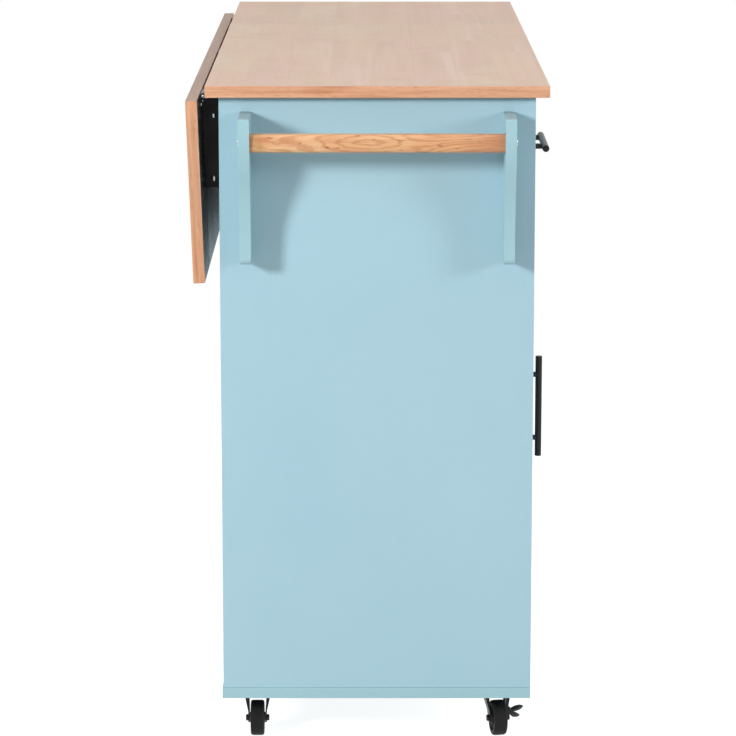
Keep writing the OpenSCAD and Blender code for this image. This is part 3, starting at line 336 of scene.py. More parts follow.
def drawer_wood_material():
    """Pale plywood of the drawer boxes."""
    s = Shader("drawer_ply")
    flow = s.noise((3.0, 1.2, 34.0), 4.0, 0.6, 0.8)
    fibre = s.noise((300.0, 8.0, 500.0), 2.0, 0.6)
    colour = s.ramp(flow, [
        (0.3, srgb(208, 176, 132)), (0.5, srgb(222, 194, 152)), (0.72, srgb(232, 208, 170)),
    ])
    colour = s.stain(colour, fibre, 0.52, 0.78, 0.35, (186, 150, 108))
    return s.done(colour, flow, (0.55, 0.68), s.bump(fibre, 0.0001))


def black_metal_material():
    """Powder coat: a fine pebbled black skin."""
    s = Shader("black_coat", Specular_IOR_Level=0.32)
    pebble = s.noise(1500.0, detail=2.0, roughness=0.6)
    cloud = s.noise(30.0, detail=2.0)
    colour = s.ramp(pebble, [(0.35, (0.0040, 0.0041, 0.0044, 1.0)), (0.7, (0.0100, 0.0102, 0.0106, 1.0))])
    return s.done(colour, cloud, (0.30, 0.42), s.bump(pebble, 0.00005))


def black_plastic_material():
    """Moulded black nylon with a fine grain."""
    s = Shader("black_nylon")
    grain = s.noise(2600.0, detail=2.0, roughness=0.55)
    cloud = s.noise(45.0)
    colour = s.ramp(cloud, [(0.3, (0.0050, 0.0050, 0.0053, 1.0)), (0.7, (0.0105, 0.0105, 0.0108, 1.0))])
    return s.done(colour, cloud, (0.36, 0.50), s.bump(grain, 0.00004))


def tread_material():
    """Wheel tread: matt grey-black with fine dust in it."""
    s = Shader("wheel_tread", Specular_IOR_Level=0.25)
    dust = s.noise(160.0, detail=4.0, roughness=0.65)
    colour = s.ramp(dust, [(0.35, (0.0045, 0.0044, 0.0043, 1.0)), (0.75, (0.0125, 0.0121, 0.0118, 1.0))])
    return s.done(colour, dust, (0.62, 0.78), s.bump(dust, 0.0001))


def steel_material():
    """Zinc plate with a faint brushed grain and cloudy crystals."""
    s = Shader("zinc_steel", Metallic=1.0)
    brush = s.noise((60.0, 900.0, 900.0), 2.0, 0.6)
    cloud = s.noise(240.0)
    colour = s.ramp(cloud, [(0.3, srgb(190, 193, 198)), (0.7, srgb(222, 224, 226))])
    return s.done(colour, cloud, (0.15, 0.26), s.bump(brush, 0.00002))


def sheet_material():
    """Rolled zinc-plated sheet of the runners and the doors' pivot plates: duller than the screws."""
    s = Shader("zinc_sheet", Metallic=1.0)
    cloud = s.noise(55.0, detail=4.0, roughness=0.6)
    rolled = s.noise((900.0, 30.0, 900.0), 2.0, 0.6)
    colour = s.ramp(cloud, [
        (0.3, srgb(146, 151, 158)), (0.5, srgb(160, 164, 170)), (0.7, srgb(172, 175, 180)),
    ])
    colour = s.stain(colour, rolled, 0.5, 0.8, 0.25, (132, 137, 144))
    return s.done(colour, cloud, (0.44, 0.56), s.bump(rolled, 0.00001))


def white_plastic_material():
    """Off-white moulded cases of the door catches."""
    s = Shader("white_plastic")
    grain = s.noise(1400.0, detail=2.0)
    cloud = s.noise(60.0, detail=2.0)
    colour = s.ramp(cloud, [(0.3, srgb(226, 226, 221)), (0.7, srgb(238, 238, 234))])
    return s.done(colour, cloud, (0.38, 0.48), s.bump(grain, 0.00003))


PAINT = paint_material("blue_paint", (158, 194, 207), (163, 197, 210), (166, 199, 213), (159, 196, 205))
# Darker, greyer blue for the brackets' upward faces: painted shade under the worktop's overhang
SHADED_TOP_PAINT = paint_material(
    "blue_paint_shaded_tops", (138, 166, 174), (142, 170, 178), (146, 174, 182), (141, 170, 176)
)
EDGE_PAINT = paint_material(
    "blue_edge_paint", (153, 190, 199), (157, 194, 203), (160, 196, 206), (154, 192, 199)
)
TOP = top_material("top_staves", hanging=False)
LEAF_TOP = top_material("leaf_staves", hanging=True)
BANDING = banding_material("edge_banding", hanging=False)
LEAF_BANDING = banding_material("leaf_edge_banding", hanging=True)
SHADED_HINGE_EDGE = shaded_hinge_edge_material()
SHADED_UNDERSIDE = shaded_underside_material()
BAR = bar_material()
PLY = drawer_wood_material()
BLACK = black_metal_material()
NYLON = black_plastic_material()
TREAD = tread_material()
STEEL = steel_material()
SHEET = sheet_material()
WHITE = white_plastic_material()


# ---------- mesh helpers ----------

SHARP_ANGLE = math.radians(38.0)


def piece(name, bm, body, materials, stands_for=(), weighted=True):
    """Turns a bmesh that is in place into a piece that rides on a body."""
    bmesh.ops.recalc_face_normals(bm, faces=bm.faces)
    mesh = bpy.data.meshes.new(name)
    bm.to_mesh(mesh)
    bm.free()
    for material in materials:
        mesh.materials.append(material)
    mesh.polygons.foreach_set("use_smooth", [True] * len(mesh.polygons))
    mesh.set_sharp_from_angle(angle=SHARP_ANGLE)
    obj = bpy.data.objects.new(name, mesh)
    bpy.context.scene.collection.objects.link(obj)
    if weighted:
        normals = obj.modifiers.new("normals", "WEIGHTED_NORMAL")
        normals.keep_sharp = True
    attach(obj, body)
    if stands_for:
        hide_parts(*stands_for)


def middle_of(points):
    """The mean of some points."""
    return sum(points, Vector()) / len(points)


def solids(node):
    """The vertices of each separate solid of a CAD node."""
    mesh = nodes[node].data
    parent = list(range(len(mesh.vertices)))

    def root(i):
        while parent[i] != i:
            parent[i] = parent[parent[i]]
            i = parent[i]
        return i

    seen = {}
    for v in mesh.vertices:
        key = tuple(round(c, 6) for c in v.co)
        parent[root(v.index)] = root(seen.setdefault(key, v.index))
    for polygon in mesh.polygons:
        first, *rest = polygon.vertices
        for other in rest:
            parent[root(other)] = root(first)
    groups = {}
    for v in mesh.vertices:
        groups.setdefault(root(v.index), []).append(v.co.copy())
    return sorted(groups.values(), key=lambda points: tuple(round(c, 4) for c in middle_of(points)))


def box_of(points):
    """The lowest and highest corner of the box round some points."""
    low = Vector(min(p[i] for p in points) for i in range(3))
    high = Vector(max(p[i] for p in points) for i in range(3))
    return low, high


def turn_to(axis, at):
    """A matrix that turns local Z to axis and moves the origin to at."""
    return Matrix.Translation(at) @ Vector(axis).to_track_quat("Z", "Y").to_matrix().to_4x4()


def circle(radius, sides):
    """Points round a circle, or its middle alone where the radius is 0."""
    if not radius:
        return [(0.0, 0.0)]
    angles = [2 * math.pi * k / sides for k in range(sides)]
    return [(radius * math.cos(a), radius * math.sin(a)) for a in angles]


def arc(cx, cy, radius, start, end, steps):
    """Points along an arc, both ends included, its angles in degrees."""
    found = []
    for k in range(steps + 1):
        a = math.radians(start + (end - start) * k / steps)
        found.append((cx + radius * math.cos(a), cy + radius * math.sin(a)))
    return found


def skin(bm, rings, closed=False):
    """Faces from each ring of vertices to the next. A ring of one vertex closes an end."""
    pairs = list(zip(rings, rings[1:]))
    if closed:
        pairs.append((rings[-1], rings[0]))
    for first, second in pairs:
        for k in range(max(len(first), len(second))):
            a, b = first[k % len(first)], first[(k + 1) % len(first)]
            c, d = second[(k + 1) % len(second)], second[k % len(second)]
            bm.faces.new(list(dict.fromkeys((a, b, c, d))))


def tube(bm, rings):
    """Faces from ring to ring, and over both ends."""
    skin(bm, rings)
    bm.faces.new(rings[0])
    bm.faces.new(rings[-1])


def add_board(bm, low, high, radius, steps=3, turn=None):
    """A board with rounded edges, turned by a matrix where one is given."""
    verts = bmesh.ops.create_cube(bm, size=1.0)["verts"]
    to_box = Matrix.Translation((low + high) / 2) @ Matrix.Diagonal((*(high - low), 1.0))
    bmesh.ops.transform(bm, verts=verts, matrix=to_box)
    edges = list({e for v in verts for e in v.link_edges})
    made = bmesh.ops.bevel(bm, geom=edges, offset=radius, segments=steps, profile=0.5, affect="EDGES")
    if turn:
        verts = {v for f in made["faces"] for v in f.verts} | {v for v in verts if v.is_valid}
        bmesh.ops.transform(bm, verts=list(verts), matrix=turn)


def boards(name, body, material, boxes, stands_for, radius):
    """A piece of one board for each box."""
    bm = bmesh.new()
    for low, high in boxes:
        add_board(bm, low, high, radius)
    piece(name, bm, body, [material], stands_for)


def add_lathe(bm, profile, matrix, sides=48):
    """A closed solid of revolution about local Z. The profile's points are (radius, height)."""
    rings = []
    for radius, height in profile:
        rings.append([bm.verts.new(matrix @ Vector((x, y, height))) for x, y in circle(radius, sides)])
    skin(bm, rings, closed=len(rings[0]) > 1 and len(rings[-1]) > 1)


def add_prism(bm, outline, matrix, thickness, bevel, skip=None):
    """An outline in local X-Y, thickened along local Z and rounded along both faces' edges."""
    low = [bm.verts.new(Vector((x, y, 0.0))) for x, y in outline]
    high = [bm.verts.new(Vector((x, y, thickness))) for x, y in outline]
    caps = [bm.faces.new(low[::-1]), bm.faces.new(high)]
    skin(bm, [low, high])
    edges = [e for cap in caps for e in cap.edges if skip is None or not all(skip(v.co) for v in e.verts)]
    made = bmesh.ops.bevel(
        bm, geom=edges, offset=bevel, segments=3, profile=0.5, affect="EDGES", clamp_overlap=True
    )
    verts = {v for v in low + high if v.is_valid} | {v for f in made["faces"] for v in f.verts}
    bmesh.ops.transform(bm, verts=list(verts), matrix=matrix)


LEAST_CORNER = 0.0002


def add_front(bm, low, high, rings, corner):
    """A panel that faces -Y, as nested rectangles with round corners. A ring is (inset, depth)."""
    made = []
    for inset, depth in rings:
        radius = max(corner - inset, LEAST_CORNER)
        x0, x1 = low.x + inset + radius, high.x - inset - radius
        z0, z1 = low.z + inset + radius, high.z - inset - radius
        points = []
        for cx, cz, start in ((x1, z1, 0), (x0, z1, 90), (x0, z0, 180), (x1, z0, 270)):
            points += arc(cx, cz, radius, start, start + 90, 3)
        made.append([bm.verts.new(Vector((x, low.y + depth, z))) for x, z in points])
    tube(bm, made)


# ---------- worktop and leaf ----------

EDGE_R = 0.0007
FACE, BAND, UNDER, HINGE_SIDE = range(4)
FLAT = 0.98                                     # a flat face's normal has more Z than this


def wooden_board(low, high):
    """A level board with its material indices: the face above, the banding, the underside."""
    bm = bmesh.new()
    add_board(bm, low, high, EDGE_R)
    bmesh.ops.recalc_face_normals(bm, faces=bm.faces)
    for face in bm.faces:
        face.normal_update()
        face.material_index = FACE if face.normal.z > FLAT else UNDER if face.normal.z < -FLAT else BAND
    return bm


bm = wooden_board(*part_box("tabletop"))
# The worktop's underside takes the dark foil: painted shade under its overhang
piece("worktop_board", bm, "cabinet", [TOP, BANDING, SHADED_UNDERSIDE], ["tabletop"])

# The leaf is made raised, where it is square to the axes, and turned down about the hinge
hang = Matrix.Translation(HINGE) @ Matrix.Rotation(-FOLD, 4, "X") @ Matrix.Translation(-HINGE)
raise_up = hang.inverted()
leaf_low, leaf_high = box_of([raise_up @ v.co for v in nodes["drop_leaf"].data.vertices])
bm = wooden_board(leaf_low, leaf_high)
# The edge by the hinges gets its own greyed colour: painted shade and a painted grazing reflection
for face in bm.faces:
    if face.calc_center_median().y < leaf_low.y + EDGE_R:
        face.material_index = HINGE_SIDE
bmesh.ops.transform(bm, verts=bm.verts, matrix=hang)
# The leaf's underside is dark: painted shade of the gap between the hanging leaf and the body
coats = [LEAF_TOP, LEAF_BANDING, SHADED_UNDERSIDE, SHADED_HINGE_EDGE]
piece("leaf_board", bm, "drop_leaf", coats, ["drop_leaf"])


# ---------- painted boards ----------

PANEL_R = 0.0006
for node in (
    "left_side_panel", "right_side_panel", "base_board", "back_panel", "front_rail", "rear_rail",
    "divider_shelf", "bay_partitions", "bay_shelves",
):
    found = [box_of(points) for points in solids(node)]
    coat = EDGE_PAINT if node == "base_board" else PAINT
    boards(node + "_board", "cabinet", coat, found, [node], PANEL_R)

# The drawer partition is notched under the front rail
low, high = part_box("drawer_partition")
rail_low, rail_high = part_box("front_rail")
outline = [
    (low.y, low.z), (high.y, low.z), (high.y, high.z), (rail_high.y, high.z),
    (rail_high.y, rail_low.z), (low.y, rail_low.z),
]
to_yz = Matrix(((0, 0, 1, low.x), (1, 0, 0, 0), (0, 1, 0, 0), (0, 0, 0, 1)))
bm = bmesh.new()
add_prism(bm, outline, to_yz, high.x - low.x, PANEL_R)
piece("drawer_partition_board", bm, "cabinet", [PAINT], ["drawer_partition"])

# Towel brackets: the front edge narrows in a long S of two arcs that meet tangent
REACH, FOOT, RACK_H = 0.085, 0.048, 0.203
TOP_ROUND, FOOT_ROUND, BRACKET_R = 0.003, 0.008, 0.0011
TAPER_DROP, TAPER_FOOT, UPPER_R = 0.025, 0.018, 0.120
taper_l = RACK_H - TAPER_DROP - TAPER_FOOT
taper_turn = 2 * math.atan((REACH - FOOT) / taper_l)
lower_r = taper_l / math.sin(taper_turn) - UPPER_R
turned = math.degrees(taper_turn)
outline = [(0.0, 0.0)]
outline += arc(REACH - TOP_ROUND, -TOP_ROUND, TOP_ROUND, 90, 0, 8)
outline += arc(REACH - UPPER_R, -TAPER_DROP, UPPER_R, 0, -turned, 20)
outline += arc(FOOT + lower_r, TAPER_FOOT - RACK_H, lower_r, 180 - turned, 180, 28)[1:]
outline += arc(FOOT - FOOT_ROUND, FOOT_ROUND - RACK_H, FOOT_ROUND, 0, -90, 8)
outline += [(0.0, -RACK_H)]
bm = bmesh.new()
for points in solids("towel_brackets"):
    low, high = box_of(points)
    to_bracket = Matrix(((-1, 0, 0, high.x), (0, 0, 1, low.y), (0, 1, 0, high.z), (0, 0, 0, 1)))
    add_prism(bm, outline, to_bracket, high.y - low.y, BRACKET_R, lambda co: abs(co.x) < 1e-6)
bmesh.ops.recalc_face_normals(bm, faces=bm.faces)
# The brackets' upward faces take the darker paint: painted shade under the worktop's overhang
for face in bm.faces:
    face.material_index = 1 if face.normal.z > 0.5 else 0
piece("towel_bracket_boards", bm, "cabinet", [EDGE_PAINT, SHADED_TOP_PAINT], ["towel_brackets"])


# ---------- screws, rivets and pins ----------

HEAD_SIDES, HEAD_RINGS = 32, 9
HEAD_COVER, RIVET_COVER = 1.03, 1.02            # how much wider than its CAD head a head is
CROSS_ARM, CROSS_HALF_W = 0.58, 0.15            # shares of a screw head's radius
CROSS_DEEP = 0.0011
WOOD_SCREW_H, BAR_SCREW_H, BRACKET_SCREW_H = 0.0012, 0.0015, 0.0010
FLAT_DOME = 0.0003
RIVET_SIDE, RIVET_RISE = 0.0013, 0.0009
ON_PLANE, SAME_PLANE = 0.00002, 0.0003          # points nearer than this to a plane lie in it


def head_places(node, direction, test=None):
    """Where each solid of a node ends in a direction: the middle of its outermost flat, and its radius."""
    found = []
    for points in solids(node):
        far = max(p.dot(direction) for p in points)
        outer = [p for p in points if p.dot(direction) > far - ON_PLANE]
        middle = middle_of(outer)
        if test is None or test(middle):
            found.append((middle, max((p - middle).length for p in outer)))
    return found


def add_screw_head(bm, at, direction, radius, height, dome=0.0005):
    """A pan head that covers the plain CAD head, with a cross recess pressed into its crown."""
    matrix = turn_to(direction, at)
    reach, arm = radius * HEAD_COVER, radius * CROSS_ARM
    rings = []
    for i in range(HEAD_RINGS + 1):
        share = i / HEAD_RINGS
        ring = []
        for x, y in circle(reach * share, HEAD_SIDES):
            z = dome * (1 - share ** 2.6)
            along = max(abs(x), abs(y))
            if min(abs(x), abs(y)) < radius * CROSS_HALF_W and along < arm:
                # The recess gets shallower along its arms
                z -= min(height * 0.75, CROSS_DEEP) * (1 - 0.5 * along / arm)
            ring.append(bm.verts.new(matrix @ Vector((x, y, z))))
        rings.append(ring)
    rings.append([bm.verts.new(matrix @ Vector((x, y, -height))) for x, y in circle(reach, HEAD_SIDES)])
    skin(bm, rings)
    bm.faces.new(rings[-1])


def add_dome(bm, at, direction, radius, height, rise):
    """A rivet head or pin end: short side, then a round crown."""
    profile = [(0.0, -height), (radius, -height), (radius, 0.0)]
    profile += [(radius * math.cos(a), rise * math.sin(a)) for a in (math.pi / 8, math.pi / 4, 3 * math.pi / 8)]
    profile += [(0.0, rise)]
    add_lathe(bm, profile, turn_to(direction, at), sides=32)


leaf_down = (hang.to_3x3() @ DOWN).normalized()
body_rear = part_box("back_panel")[1].y
middle_x = (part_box("base_board")[0].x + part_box("base_board")[1].x) / 2

# The screws of the hinge plates and the casters point up, those of the brace legs into the back panel
CASTERS_Z, HINGES_Z = 0.1, 0.9                  # casters are below the first height, hinges above the second
bm = bmesh.new()
for direction, test in (
    (DOWN, lambda p: p.z > HINGES_Z or p.z < CASTERS_Z),
    (OUT_REAR, lambda p: p.y > body_rear and CASTERS_Z < p.z < HINGES_Z),
):
    for at, radius in head_places("cabinet_screws", direction, test):
        add_screw_head(bm, at, direction, radius, WOOD_SCREW_H)
piece("cabinet_screw_heads", bm, "cabinet", [STEEL], weighted=False)

bm = bmesh.new()
for at, radius in head_places("leaf_screws", leaf_down):
    add_screw_head(bm, at, leaf_down, radius, WOOD_SCREW_H)
piece("leaf_screw_heads", bm, "drop_leaf", [STEEL], weighted=False)

# The towel bar's screws go through the brackets, and the brackets' own through the end panel
bm = bmesh.new()
bar_low, bar_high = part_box("towel_bar")
panel_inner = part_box("left_side_panel")[1].x
PAST_BAR = 0.016                                # the outer side of a bracket is further out than this
for direction, height, test in (
    (OUT_FRONT, BAR_SCREW_H, lambda p: p.y < bar_low.y - PAST_BAR),
    (OUT_REAR, BAR_SCREW_H, lambda p: p.y > bar_high.y + PAST_BAR),
    (TO_RIGHT, BRACKET_SCREW_H, lambda p: abs(p.x - panel_inner) < SAME_PLANE),
):
    for at, radius in head_places("towel_rack_screws", direction, test):
        add_screw_head(bm, at, direction, radius, height, FLAT_DOME)
piece("towel_rack_screw_heads", bm, "cabinet", [STEEL], weighted=False)

# The braces' rivets: on the body their heads face the ends of the island, on the leaf its middle
for node, body, outward in (("brace_fixed_rivet", "cabinet", 1), ("brace_leaf_rivet", "drop_leaf", -1)):
    bm = bmesh.new()
    for side in (-1, 1):
        direction = Vector((side * outward, 0, 0))
        for at, radius in head_places(node + "s", direction, lambda p: (p.x - middle_x) * side > 0):
            add_dome(bm, at, direction, radius * RIVET_COVER, RIVET_SIDE, RIVET_RISE)
    piece(node + "_heads", bm, body, [STEEL], weighted=False)

# Round finials on the ends of the leaf hinges' pins
FINIAL_R, FINIAL_NECK, FINIAL_OUT = 0.0026, 0.0021, 0.0009
ball = [(0.0, -FINIAL_OUT), (FINIAL_NECK, -FINIAL_OUT)]
for a in (-0.6, -0.2, 0.2, 0.6, 1.0, 1.3):
    ball.append((FINIAL_R * math.cos(a), FINIAL_R * math.sin(a) + FINIAL_OUT))
ball.append((0.0, FINIAL_R + FINIAL_OUT))
bm = bmesh.new()
for points in solids("leaf_hinge_pins"):
    low, high = box_of(points)
    middle = (low + high) / 2
    for direction, x in ((TO_LEFT, low.x), (TO_RIGHT, high.x)):
        add_lathe(bm, ball, turn_to(direction, Vector((x, middle.y, middle.z))), sides=32)
piece("leaf_hinge_finials", bm, "cabinet", [STEEL], weighted=False)


# ---------- drawers and doors ----------

PLY_R, BOTTOM_R = 0.0006, 0.0003
FRONT_T = 0.015
EASE, EASE_MID = 0.0010, 0.0003                 # how far an edge is eased, and its middle point
DOOR_FRAME, RECESS = 0.060, 0.004
# Rings for add_front, from the back round the edge to the face, and for a door on to its recess
SLAB = [
    (EASE, FRONT_T), (EASE_MID, FRONT_T - EASE_MID), (0.0, FRONT_T - EASE),
    (0.0, EASE), (EASE_MID, EASE_MID), (EASE, 0.0),
]
DOOR = SLAB + [
    (DOOR_FRAME - 0.0012, 0.0), (DOOR_FRAME - 0.0004, 0.0004), (DOOR_FRAME, 0.0012),
    (DOOR_FRAME, RECESS - 0.0008), (DOOR_FRAME + EASE_MID, RECESS - EASE_MID), (DOOR_FRAME + EASE, RECESS),
]
PULL_PITCH, PULL_R, POST_R = 0.096, 0.005, 0.004
PULL_SCREW_R, PULL_SCREW_H = 0.004, 0.002


def bar_profile(length, radius, ease=0.0008):
    """A rod with eased ends, for add_lathe."""
    return [
        (0.0, 0.0), (radius - ease, 0.0), (radius - ease * 0.3, ease * 0.3), (radius, ease),
        (radius, length - ease), (radius - ease * 0.3, length - ease * 0.3), (radius - ease, length),
        (0.0, length),
    ]


def bar_pull(body, front, along):
    """A body's pull: a round bar on two flared posts, and two machine screws behind the front."""
    low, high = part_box(body + "_pull")
    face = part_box(front)[0].y
    centre = Vector(((low.x + high.x) / 2, low.y + PULL_R, (low.z + high.z) / 2))
    length, reach = (high - low).dot(along), face - centre.y
    post = [
        (0.0, 0.0), (POST_R + 0.0007, 0.0), (POST_R + 0.0007, 0.0008), (POST_R + 0.0002, 0.0015),
        (POST_R, 0.0026), (POST_R, reach - 0.002), (POST_R - 0.001, reach), (0.0, reach),
    ]
    ends = [centre + along * side * PULL_PITCH / 2 for side in (-1, 1)]
    bm = bmesh.new()
    add_lathe(bm, bar_profile(length, PULL_R), turn_to(along, centre - along * length / 2))
    for end in ends:
        add_lathe(bm, post, turn_to(OUT_FRONT, Vector((end.x, face, end.z))), sides=40)
    piece(body + "_pull_bar", bm, body, [BLACK], [body + "_pull"])
    bm = bmesh.new()
    for end in ends:
        at = Vector((end.x, face + FRONT_T + PULL_SCREW_H, end.z))
        add_screw_head(bm, at, OUT_REAR, PULL_SCREW_R, PULL_SCREW_H, dome=0.0006)
    piece(body + "_pull_bar_screws", bm, body, [STEEL], weighted=False)


for side in ("left", "right"):
    body = side + "_drawer"
    bm = bmesh.new()
    add_front(bm, *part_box(body + "_front"), SLAB, EASE)
    piece(body + "_front_slab", bm, body, [PAINT], [body + "_front"])
    found = [box_of(points) for points in solids(body + "_box")]
    boards(body + "_box_boards", body, PLY, found, [body + "_box"], PLY_R)
    bottom = [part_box(body + "_bottom")]
    boards(body + "_bottom_board", body, PLY, bottom, [body + "_bottom"], BOTTOM_R)
    bar_pull(body, body + "_front", TO_RIGHT)

for side in ("left", "right"):
    body = side + "_door"
    bm = bmesh.new()
    add_front(bm, *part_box(body), DOOR, EASE)
    piece(body + "_panel", bm, body, [PAINT], [body])
    bar_pull(body, body, UP)

# Steel pole plates in the magnetic catches, near both ends, in sight at the front
POLE_IN, POLE_HALF_W, POLE_DEEP, POLE_EDGE = 0.008, 0.004, 0.004, 0.003
POLE_PROUD, POLE_R = 0.0002, 0.0001
bm = bmesh.new()
for points in solids("door_catches"):
    low, high = box_of(points)
    for x in (low.x + POLE_IN, high.x - POLE_IN):
        near = Vector((x - POLE_HALF_W, low.y - POLE_PROUD, low.z + POLE_EDGE))
        far = Vector((x + POLE_HALF_W, low.y + POLE_DEEP, high.z - POLE_EDGE))
        add_board(bm, near, far, POLE_R, steps=2)
piece("door_catch_poles", bm, "cabinet", [STEEL])


# ---------- casters ----------

# Half a wheel's section, from the hub's bore out to the tread's crown: radius, and height from the middle
WHEEL_HALF = [
    (0.00305, 0.0107), (0.0074, 0.0107), (0.0080, 0.0101), (0.0080, 0.0074), (0.0084, 0.0070),
    (0.0184, 0.0070), (0.0190, 0.0076), (0.0190, 0.0089), (0.0196, 0.0095), (0.0203, 0.0095),
    (0.0206, 0.0090), (0.0209, 0.0095), (0.0220, 0.0095),
]
WHEEL_HALF += [(0.0220 + 0.0029 * math.sin(a), 0.0065 + 0.003 * math.cos(a)) for a in (0.4, 0.8, 1.2, 1.57)]
WHEEL_HALF.append((0.025, 0.0035))
WHEEL = WHEEL_HALF + [(radius, -height) for radius, height in reversed(WHEEL_HALF)]
TREAD_R = 0.0205
# The ribs between hub and rim, on both sides of a wheel
RIBS, RIB_START, RIB_HALF_T, RIB_R = 8, 11, 0.0008, 0.00025
RIB_FROM, RIB_TO, RIB_LOW, RIB_HIGH = 0.0072, 0.0192, 0.0060, 0.0090
# Bolt head and nut on an axle, outside the fork legs
TREAD_HALF_W, LEG_ROOM, LEG_T, NUT_H = 0.0095, 0.0016, 0.002, 0.003
NUT_OUT = TREAD_HALF_W + LEG_ROOM + LEG_T + NUT_H
NUT_R, NUT_SIDE, NUT_RISE = 0.00455, 0.0028, 0.0007
# The bead round the rim of a fork's crown, and how far it is below the fork's top
CROWN_R, BEAD_HALF_W, BEAD_HALF_H, BEAD_DROP = 0.0172, 0.0016, 0.0019, 0.0025
BEAD = [
    (CROWN_R + BEAD_HALF_W * math.cos(a), BEAD_HALF_H * math.sin(a))
    for a in [math.pi * k / 6 for k in range(12)]
]
# A fork leg's two edges are folded inwards where it leans out: distance ahead of the swivel against height
FORK_FRONT = [(0.0120, 0.0577), (0.0120, 0.0538), (0.0068, 0.0467), (0.0004, 0.0380), (-0.0018, 0.0350)]
FORK_REAR = [(-0.0135, 0.0577), (-0.0146, 0.0538), (-0.0167, 0.0467), (-0.0192, 0.0380), (-0.0201, 0.0350)]
FLANGE_T, FLANGE_EASE, FLANGE_SUNK = 0.0012, 0.0003, 0.0006
FLANGE_IN, FLANGE_LEAN = 0.0113, 0.0013
# A leg's inner face leans out between two heights, and lies this far from the wheel's middle there
LEG_BEND_Z, LEG_TOP_Z = 0.034, 0.0558
LEG_BEND_IN, LEG_TOP_IN = 0.0111, 0.0160


def leg_inside(z):
    """How far a fork leg's inner face lies from the wheel's middle at a height."""
    share = min(max((z - LEG_BEND_Z) / (LEG_TOP_Z - LEG_BEND_Z), 0.0), 1.0)
    return LEG_BEND_IN + (LEG_TOP_IN - LEG_BEND_IN) * share


def add_flange(bm, swivel, ahead, out, edge):
    """One folded edge: it reaches from the leg in to a line that is almost upright."""
    inward = -FLANGE_T if edge is FORK_FRONT else FLANGE_T
    rings = []
    for x, z in edge:
        share = (z - edge[-1][1]) / (edge[0][1] - edge[-1][1])
        near = FLANGE_IN + FLANGE_LEAN * share
        far = max(leg_inside(z), near) + FLANGE_SUNK
        corners = (
            (x, far), (x, near + FLANGE_EASE), (x + inward * 0.25, near), (x + inward, near), (x + inward, far),
        )
        base = Vector((swivel.x, swivel.y, z))
        rings.append([bm.verts.new(base + ahead * along + out * across) for along, across in corners])
    tube(bm, rings)


for corner in ("front_left", "front_right", "rear_left", "rear_right"):
    roll = joints[corner + "_roll"]
    axis, centre = Vector(roll["axis"]), Vector(roll["pos_m"])
    swivel = Vector(joints[corner + "_swivel"]["pos_m"])
    matrix = turn_to(axis, centre)
    bm = bmesh.new()
    add_lathe(bm, WHEEL, matrix, sides=72)
    to_wheel = matrix.inverted()
    for face in bm.faces:
        if min((to_wheel @ v.co).xy.length for v in face.verts) > TREAD_R:
            face.material_index = 1
    for side in (-1, 1):
        low_z, high_z = sorted((side * RIB_LOW, side * RIB_HIGH))
        for k in range(RIBS):
            turn = matrix @ Matrix.Rotation(math.radians(360 / RIBS * k + RIB_START), 4, "Z")
            low, high = Vector((RIB_FROM, -RIB_HALF_T, low_z)), Vector((RIB_TO, RIB_HALF_T, high_z))
            add_board(bm, low, high, RIB_R, steps=2, turn=turn)
    piece(corner + "_wheel_body", bm, corner + "_wheel", [NYLON, TREAD], [corner + "_wheel"])

    bm = bmesh.new()
    for side in (-1, 1):
        add_dome(bm, centre + axis * side * NUT_OUT, axis * side, NUT_R, NUT_SIDE, NUT_RISE)
    bead_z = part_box(corner + "_fork")[1].z - BEAD_DROP
    add_lathe(bm, BEAD, turn_to(UP, Vector((swivel.x, swivel.y, bead_z))), sides=64)
    ahead = Vector((swivel.x - centre.x, swivel.y - centre.y, 0.0)).normalized()
    for side in (-1, 1):
        for edge in (FORK_FRONT, FORK_REAR):
            add_flange(bm, swivel, ahead, axis * side, edge)
    piece(corner + "_fork_trim", bm, corner + "_fork", [BLACK], weighted=False)

# Brake pedals: a boss on the pin and two leaf-shaped paddles, the upper one with grip ridges.
# The points of the paddles' paths are (outward, up) from the pin
PEDAL_HALF_W, BOSS_R, BOSS_EASE, BORE_R = 0.006, 0.0035, 0.0005, 0.0016
BOSS = [
    (BORE_R, -PEDAL_HALF_W), (BOSS_R - BOSS_EASE, -PEDAL_HALF_W), (BOSS_R, BOSS_EASE - PEDAL_HALF_W),
    (BOSS_R, PEDAL_HALF_W - BOSS_EASE), (BOSS_R - BOSS_EASE, PEDAL_HALF_W), (BORE_R, PEDAL_HALF_W),
]
UPPER = [(0.0, 0.0), (0.0040, 0.0012), (0.0180, 0.0054)]
LOWER = [(0.0, 0.0), (0.0036, -0.0056), (0.0130, -0.0072)]
PADDLE_HALF_W, UPPER_HALF_T, LOWER_HALF_T, TIP_OVER = 0.0058, 0.0025, 0.0026, 0.0018
PADDLE_STEPS, PADDLE_SIDES, PADDLE_TAPER = 18, 24, 0.45
RIDGES, RIDGE_SPAN = (0.42, 0.56, 0.70, 0.84), 0.0200
RIDGE_R, RIDGE_EASE = 0.0005, 0.0003


def way_along(path, reach):
    """The point and direction at a distance along a path of straight runs."""
    for (x0, y0), (x1, y1) in zip(path, path[1:]):
        run = math.hypot(x1 - x0, y1 - y0)
        if reach <= run or (x1, y1) == path[-1]:
            way = Vector(((x1 - x0) / run, (y1 - y0) / run))
            return Vector((x0, y0)) + way * reach, way
        reach -= run


